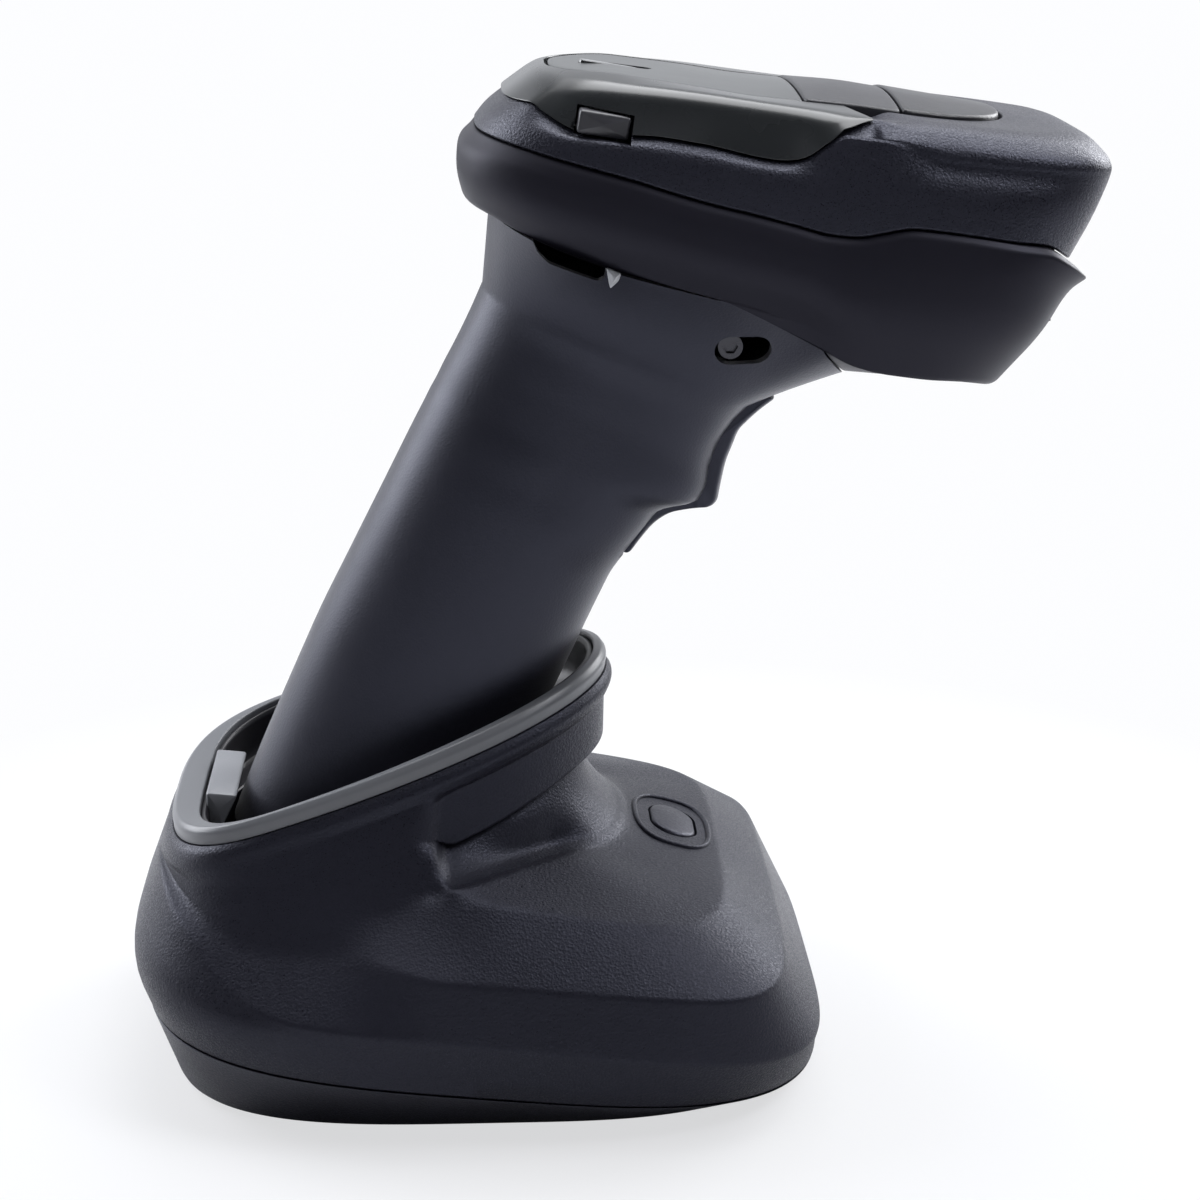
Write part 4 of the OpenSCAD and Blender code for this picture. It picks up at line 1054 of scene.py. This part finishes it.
lens_frame = (INDICATOR + HEAD_FORWARD * -5 + HEAD_UP * 13.0, HEAD_FORWARD, Y, HEAD_UP)
lens = block("indicator_lens_bar", pill(2.4, 11.3)[:, ::-1], height=0.82, edge=0.15, crown=0.1,
             axes=lens_frame)
dress(lens, "scanner", "indicator_lens", "indicator_clear")

# ---------- grip ----------
# along the axis, rear, front, half width, front exponent
GRIP_STATIONS = [
    [-42, -19, 19, 15.5, 2.2], [-37.5, -20.2, 20, 16.4, 2.2], [-20, -20.7, 20.4, 16.8, 2.2],
    [0, -20.6, 20.4, 17, 2.2], [15, -19.9, 20.6, 17.2, 2.2], [28, -19.2, 20.8, 17.2, 2.3],
    [34, -18.9, 21.6, 17.2, 2.7], [39.5, -18.6, 22.6, 17, 3.1], [42.5, -18.4, 23.4, 17, 3.2],
    [44.6, -18.3, 25.6, 17, 3.4], [46.7, -18.1, 28.4, 17, 3.5], [49, -18, 28.7, 17, 3.4],
    [53, -17.7, 27.8, 17, 3.3], [56.6, -17.5, 27.5, 17.2, 3.3], [60.5, -17.4, 28.1, 17.5, 3.2],
    [64, -17.4, 29.4, 18.5, 3],
]
GRIP_CURVES = [table([[r[0], r[k]] for r in GRIP_STATIONS]) for k in (1, 2, 3, 4)]
# rows of the outer and inner skins: along the axis, then as a share of the way to the head
OUTER_ALONG = [*np.linspace(-36, 28, 24), *np.arange(29.2, 63.4, 1.1), 63.4]
OUTER_SHARES = (0.0, 0.08, 0.16, 0.25, 0.35, 0.45, 0.55, 0.65, 0.75, 0.85, 0.93, 1)
INNER_ALONG = (-36, -20, 0, 15, 28, 34, 39.5, 42.5, 44.6, 46.7, 49, 53, 56.6, 60.5)
INNER_SHARES = (0, 0.3, 0.6, 0.85, 1)
TRIGGER_OPENING = [[14, 32.7], [14, 67.5], [44, 67.5], [44, 32.7]]       # forward, along
# x, z of the opening on each side below the bumper's edge
SIDE_OPENING = [[7.6, 141.0], [8.6, 138.6], [10.2, 137.0], [17.6, 134.7], [18.6, 135.4],
                [18.9, 141.0]]


def grip_loop(along, angles, inset=0.0):
    rear_q, front_q, half_width, power = (curve(along) for curve in GRIP_CURVES)
    reach = (front_q - rear_q) / 2
    x, y = superellipse([reach, -reach, half_width, 0, power, 2.2], angles, inset)
    return grip_point(along, x + (front_q + rear_q) / 2, y)


def neck_loop(share, angles, inset):
    """Loop between the top of the grip and the head; the width changes late."""
    a, b = grip_loop(64, angles, inset), joint_loop(angles, inset, 0)
    return np.stack([mix(a[:, i], b[:, i], share ** power)
                     for i, power in enumerate((1, 1.8, 1))], 1)


def seam_wall(points, outer_edge, inner_edge):
    """Triangles between the outer and inner edges of a half, taken up the grip's axis."""
    faces = []
    i = k = 0
    i_end, k_end = len(outer_edge) - 1, len(inner_edge) - 1
    while i < i_end or k < k_end:
        outer_up = points[outer_edge[min(i + 1, i_end)]] @ GRIP_UP
        inner_up = points[inner_edge[min(k + 1, k_end)]] @ GRIP_UP
        if k == k_end or (i < i_end and outer_up <= inner_up):
            faces.append((outer_edge[i], outer_edge[i + 1], inner_edge[k]))
            i += 1
        else:
            faces.append((outer_edge[i], inner_edge[k + 1], inner_edge[k]))
            k += 1
    return faces


def grip_half(side, name, node_name):
    """Half of the grip's shell; side is 1 for the left and -1 for the right."""
    n = 150
    angles = (0 if side > 0 else 180) + np.arange(n) * 180.0 / (n - 1)
    outer_rows = [grip_loop(s, angles) for s in OUTER_ALONG]
    outer_rows += [neck_loop(u, angles, 0) for u in OUTER_SHARES]
    inner_rows = [grip_loop(s, angles, WALL) for s in INNER_ALONG]
    inner_rows += [neck_loop(u, angles, WALL) for u in INNER_SHARES]
    rows = outer_rows + inner_rows[::-1]
    for row in rows:
        # hold the half clear of the seam in the middle
        row[:, 1] = side * np.maximum(side * row[:, 1], GAP / 2)
    points = np.concatenate(rows)
    faces = grid_faces(len(rows), n, True, False)
    for end in (0, n - 1):
        outer_edge = [j * n + end for j in range(len(outer_rows))]
        inner_edge = [(len(rows) - 1 - j) * n + end for j in range(len(inner_rows))]
        faces += seam_wall(points, outer_edge, inner_edge)
    half = make_mesh(name, points, faces, 40)
    dress(half, "scanner", node_name, "grip_plastic")
    trigger_hole = outline_round(TRIGGER_OPENING, [1, 1, 0.2, 0.2], 3)
    pill_hole = pill(4.9, 8.9)[:, ::-1] + [40.2, 123.0]
    side_hole = outline_round(SIDE_OPENING, 0.5, 3)
    cut(half, [
        prism(trigger_hole, (-8.4, 8.4), GRIP_SIDE),
        prism(pill_hole, (side * 12, side * 32), SIDE_VIEW),
        prism(side_hole, (side * 14, side * 32), SIDE_VIEW),
    ], angle=40)


grip_half(-1, "grip_right_skin", "grip_shell_right")
grip_half(1, "grip_left_skin", "grip_shell_left")

# ---------- battery cap ----------
cap = shell("battery_cap_skin", rounded([
    (grip_loop(-42, ANGLES, 0.8), 0),
    (grip_loop(-41.4, ANGLES), 0.6),
    (grip_loop(-36.2, ANGLES), 0.15),
    (grip_loop(-36.2, ANGLES, 4), 0),
], steps=4), wrap=False)
dress(cap, "scanner", "battery_cap", "base_plastic")
cap_screw = grip_point(-43, 13)
cap_cuts = [drill(grip_point(-43, q), GRIP_UP, 1.61, 1.8) for q in PINS]
cap_cuts += [drill(cap_screw, GRIP_UP, 1.3, 8), drill(cap_screw, GRIP_UP, 2.5, 2.6)]
cut(cap, cap_cuts)

# ---------- bumper clips ----------
CLIP_PROFILE = [[18.7, 137.2], [21.0, 136.4], [20.6, 135.2], [19.3, 134.0]]      # x, z
for side, side_name in ((-1, "right"), (1, "left")):
    clip = block("bumper_clip_" + side_name, outline_round(CLIP_PROFILE, 0.35, 4),
                 height=2.6, edge=0.35, crown=0.3, axes=(Y * side * 23.2, X, Z, Y * side))
    dress(clip, "scanner", "bumper_clip", "clip_grey")

# ---------- trigger ----------
# forward of the grip's axis, along it, corner radius
TRIGGER_PROFILE = [
    [17.5, 33.9, 0.4], [21.9, 33.9, 0.8], [22.8, 37.4, 2], [23.7, 40.2, 2], [25.4, 42.8, 2],
    [28.6, 44.9, 2], [31, 46.1, 0.9], [31.6, 47.3, 0.9], [30.9, 50, 2], [30, 54, 2],
    [29.9, 57, 2], [29.7, 59.5, 2], [31.3, 63.6, 2], [33, 66.6, 0.5], [24, 66.8, 0],
    [17, 66.9, 1], [14.6, 65.4, 1], [14.2, 62.6, 1], [16, 61, 1], [19, 58, 1], [18.5, 50, 2],
]
TRIGGER_HALF_WIDTH = 8.2
TRIGGER_Y = (-8.2, -8.05, -7.7, -7.0, -6.0, -5.75, -5.65, -4, -2, 0,
             2, 4, 5.65, 5.75, 6.0, 7.0, 7.7, 8.05, 8.2)
trigger_outline = outline_round(
    [p[:2] for p in TRIGGER_PROFILE], [p[2] for p in TRIGGER_PROFILE], 5)
trigger_loops = []
for y in TRIGGER_Y:
    # the front face curves back towards the sides, and the rear is shallower there
    curve_back = 1.5 * (1 - math.sqrt(max(0, 1 - (abs(y) / TRIGGER_HALF_WIDTH) ** 3.2)))
    profile = trigger_outline.copy()
    profile[:, 0] -= curve_back * ease(19.5, 24, profile[:, 0])
    if abs(y) > 5.7:
        profile[:, 0] = np.maximum(profile[:, 0], 18.4)
    trigger_loops.append(layer(profile, y, GRIP_SIDE))
trigger = shell("trigger_skin", trigger_loops, wrap=False, angle=40)
dress(trigger, "trigger", "trigger", "trigger_plastic")
cut(trigger, [drill(grip_point(64.0, 17.0, -20.0), Y, 1.55, 40)], angle=40)

# ---------- side buttons ----------
SIDE_BUTTON = [[-3.9, -1.75], [3.9, -1.75], [3.9, 1.75], [-3.9, 1.75]]
for side, side_name in ((-1, "right"), (1, "left")):
    button_frame = ([18.5, side * 18.6, 158.1], HEAD_FORWARD, HEAD_UP, Y * side)
    button = block(f"side_button_{side_name}_cap", outline_round(SIDE_BUTTON, 0.55, 5),
                   height=4.9, edge=0.55, crown=0.25, axes=button_frame, steps=4)
    dress(button, "side_button_" + side_name, f"side_button_{side_name}", "button_grey")


# ---------- springs ----------
def spring(name, start, axis, radius, wire, turns, length, body, node_name):
    """Coil of wire wound along its axis from its start, with its own mesh data."""
    u = np.cross(axis, Y)
    u /= np.linalg.norm(u)
    w = np.cross(axis, u)
    k = np.linspace(0, 1, int(turns * 24) + 1)
    a = k * turns * 2 * math.pi
    circle = radius * (np.outer(np.cos(a), u) + np.outer(np.sin(a), w))
    path = start + np.outer(k * (length - 2 * wire) + wire, axis) + circle
    coil = dress(tube(name, path, wire, closed=False), body, node_name, "spring_steel")
    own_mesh(coil)


spring("trigger_spring_coil", grip_point(45.6, 10.75), GRIP_FORWARD, radius=1.9, wire=0.25,
       turns=6.2, length=6.3, body="scanner", node_name="trigger_spring")
for i, forward in enumerate(PINS, 1):
    spring(f"pin_spring_{i}", grip_point(-50.4, forward), GRIP_UP, radius=0.5, wire=0.12,
           turns=4.5, length=2.1, body="cradle", node_name="pin_springs")

# ---------- CAD nodes that stay: material and bevel width ----------
KEPT_NODES = {
    "cradle_circuit_board": ("circuit_board", 0.1),
    "contact_block": ("switch_plastic", 0.25),
    "ballast_plate": ("steel", 0.3),
    "rubber_feet": ("foot_rubber", 0.15),
    "base_screws": ("steel", 0.08),
    "data_socket": ("socket_shell", 0.15),
    "page_switch": ("switch_plastic", 0.12),
    "charge_pins": ("contact_gold", 0.06),
    "window_bezel": ("bezel_black", 0.2),
    "scan_window": ("window_glass", 0.2),
    "imager_housing": ("switch_plastic", 0.3),
    "imager_lens": ("lens_glass", 0.1),
    "illumination_leds": ("led_white", 0.15),
    "aimer_lens": ("aimer_red", 0.1),
    "main_circuit_board": ("circuit_board", 0.1),
    "beeper": ("switch_plastic", 0.2),
    "side_switches": ("switch_plastic", 0.2),
    "grip_screws": ("dark_steel", 0.08),
    "trigger_bracket": ("switch_plastic", 0.2),
    "trigger_pin": ("steel", 0.15),
    "trigger_switch": ("switch_plastic", 0.2),
    "battery_pack": ("battery_wrap", 0.5),
    "cap_contacts": ("contact_gold", 0.05),
    "cap_screw": ("steel", 0.06),
}


def weld_bevel(obj, width):
    weld = obj.modifiers.new("weld", "WELD")
    weld.merge_threshold = 1e-6
    bevel = obj.modifiers.new("bevel", "BEVEL")
    bevel.width = width * MM
    bevel.segments = 2
    bevel.limit_method = "ANGLE"
    bevel.angle_limit = math.radians(32)
    bevel.use_clamp_overlap = True
    bevel.harden_normals = False
    bevel.miter_outer = "MITER_ARC"


for name, (look, width) in KEPT_NODES.items():
    kept_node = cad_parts[name]
    kept_node.data.materials.clear()
    kept_node.data.materials.append(MATERIALS[look])
    weld_bevel(kept_node, width)


# ---------- floor ----------
def floor_material():
    """Pale floor that fades to plain white away from the middle, for the camera only."""
    mat = bpy.data.materials.new("floor")
    mat.use_nodes = True
    tree = mat.node_tree
    surface = tree.nodes["Principled BSDF"]
    surface.inputs["Base Color"].default_value = (0.62, 0.62, 0.63, 1)
    surface.inputs["Roughness"].default_value = 0.7
    glow = node(tree, "Emission", {"Color": (0.98, 0.985, 1.0, 1), "Strength": 1.0})
    place = node(tree, "TexCoord").outputs["Object"]
    distance = node(tree, "VectorMath", {0: place}, operation="LENGTH").outputs["Value"]
    fade = map_range(tree, distance, 0.68, 1.0, start=0.085, end=0.19)
    seen = node(tree, "LightPath").outputs["Is Camera Ray"]
    share = node(tree, "Math", {0: fade, 1: seen}, operation="MULTIPLY").outputs[0]
    mixed = node(tree, "MixShader", {0: share, 1: surface.outputs[0], 2: glow.outputs[0]})
    tree.links.new(mixed.outputs[0], tree.nodes["Material Output"].inputs[0])
    return mat


floor_mesh = bpy.data.meshes.new("floor")
floor_mesh.from_pydata([(-6, -6, 0), (6, -6, 0), (6, 6, 0), (-6, 6, 0)], [], [(0, 1, 2, 3)])
floor = bpy.data.objects.new("floor", floor_mesh)
floor_mesh.materials.append(floor_material())
bpy.context.scene.collection.objects.link(floor)
floor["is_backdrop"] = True


# ---------- world ----------
def studio_world():
    """Near-white to the camera; dim light that brightens towards the left (+y) for the rest."""
    world = bpy.data.worlds.new("studio")
    bpy.context.scene.world = world
    world.use_nodes = True
    tree = world.node_tree
    tree.nodes.clear()
    seen = node(tree, "Background", {"Color": (0.97, 0.985, 1.0, 1), "Strength": 1.0})
    lit = node(tree, "Background", {"Color": (0.93, 0.95, 1.0, 1), "Strength": 0.10})
    direction = node(tree, "TexCoord").outputs["Generated"]
    leftward = node(tree, "SeparateXYZ", {0: direction}).outputs[1]
    strength = map_range(tree, leftward, 0.050, 0.9, start=-0.1, end=0.95,
                         interpolation_type="SMOOTHSTEP")
    tree.links.new(strength, lit.inputs["Strength"])
    camera_ray = node(tree, "LightPath").outputs["Is Camera Ray"]
    mixed = node(tree, "MixShader", {0: camera_ray, 1: lit.outputs[0], 2: seen.outputs[0]})
    node(tree, "OutputWorld", {0: mixed.outputs[0]})


studio_world()


# ---------- lights ----------
def area(name, place, target, size, power, color, size_y=None):
    light = bpy.data.lights.new(name, "AREA")
    light.energy = power
    light.color = color
    light.size = size
    if size_y:
        light.shape = "RECTANGLE"
        light.size_y = size_y
    obj = bpy.data.objects.new(name, light)
    obj.location = place
    aim = Vector(target) - Vector(place)
    obj.rotation_euler = aim.to_track_quat("-Z", "Y").to_euler()
    bpy.context.scene.collection.objects.link(obj)


area("rear_left", place=(-0.62, 0.30, 0.42), target=(-0.02, 0, 0.09), size=0.45, size_y=0.6,
     power=6.0, color=(0.93, 0.95, 1.0))
area("rear_right", place=(0.60, 0.42, 0.42), target=(0.03, 0, 0.10), size=0.5, size_y=0.5,
     power=5.5, color=(0.97, 0.98, 1.0))
area("top", place=(0.10, 0.20, 0.9), target=(0, 0, 0.05), size=0.7,
     power=9.0, color=(0.97, 0.98, 1))
area("nose_glow", place=(0.50, -0.22, 0.72), target=(0.07, 0, 0.15), size=0.3, size_y=0.3,
     power=2.8, color=(0.95, 0.96, 1.0))
area("front_fill", place=(-0.35, -0.9, 0.45), target=(0, 0, 0.08), size=0.8,
     power=0.6, color=(0.9, 0.91, 1.0))

# ---------- camera, looking at the right side from a little above ----------
CAMERA_PLACE = (-0.0006 + SHIFT[0] * MM, -0.400, 0.207)
YAW, PITCH = 0.049, 0.315                # radians: towards +x, downwards
camera = bpy.data.cameras.new("cam")
camera_object = bpy.data.objects.new("cam", camera)
bpy.context.scene.collection.objects.link(camera_object)
bpy.context.scene.camera = camera_object
sight = Vector((math.sin(YAW) * math.cos(PITCH), math.cos(YAW) * math.cos(PITCH),
                -math.sin(PITCH)))
right = Vector((math.cos(YAW), -math.sin(YAW), 0))
columns = zip(right, right.cross(sight), -sight, CAMERA_PLACE)
camera_object.matrix_world = Matrix((*columns, (0, 0, 0, 1)))
camera.sensor_width = 36
camera.sensor_fit = "AUTO"
camera.lens = 75.66
camera.clip_start = 0.01
bpy.context.scene.view_settings.view_transform = "Standard"
bpy.context.scene.view_settings.look = "None"

size = {"cad": cad_box, "visual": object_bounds()}
size = {key: [list(map(float, v)) for v in corners] for key, corners in size.items()}
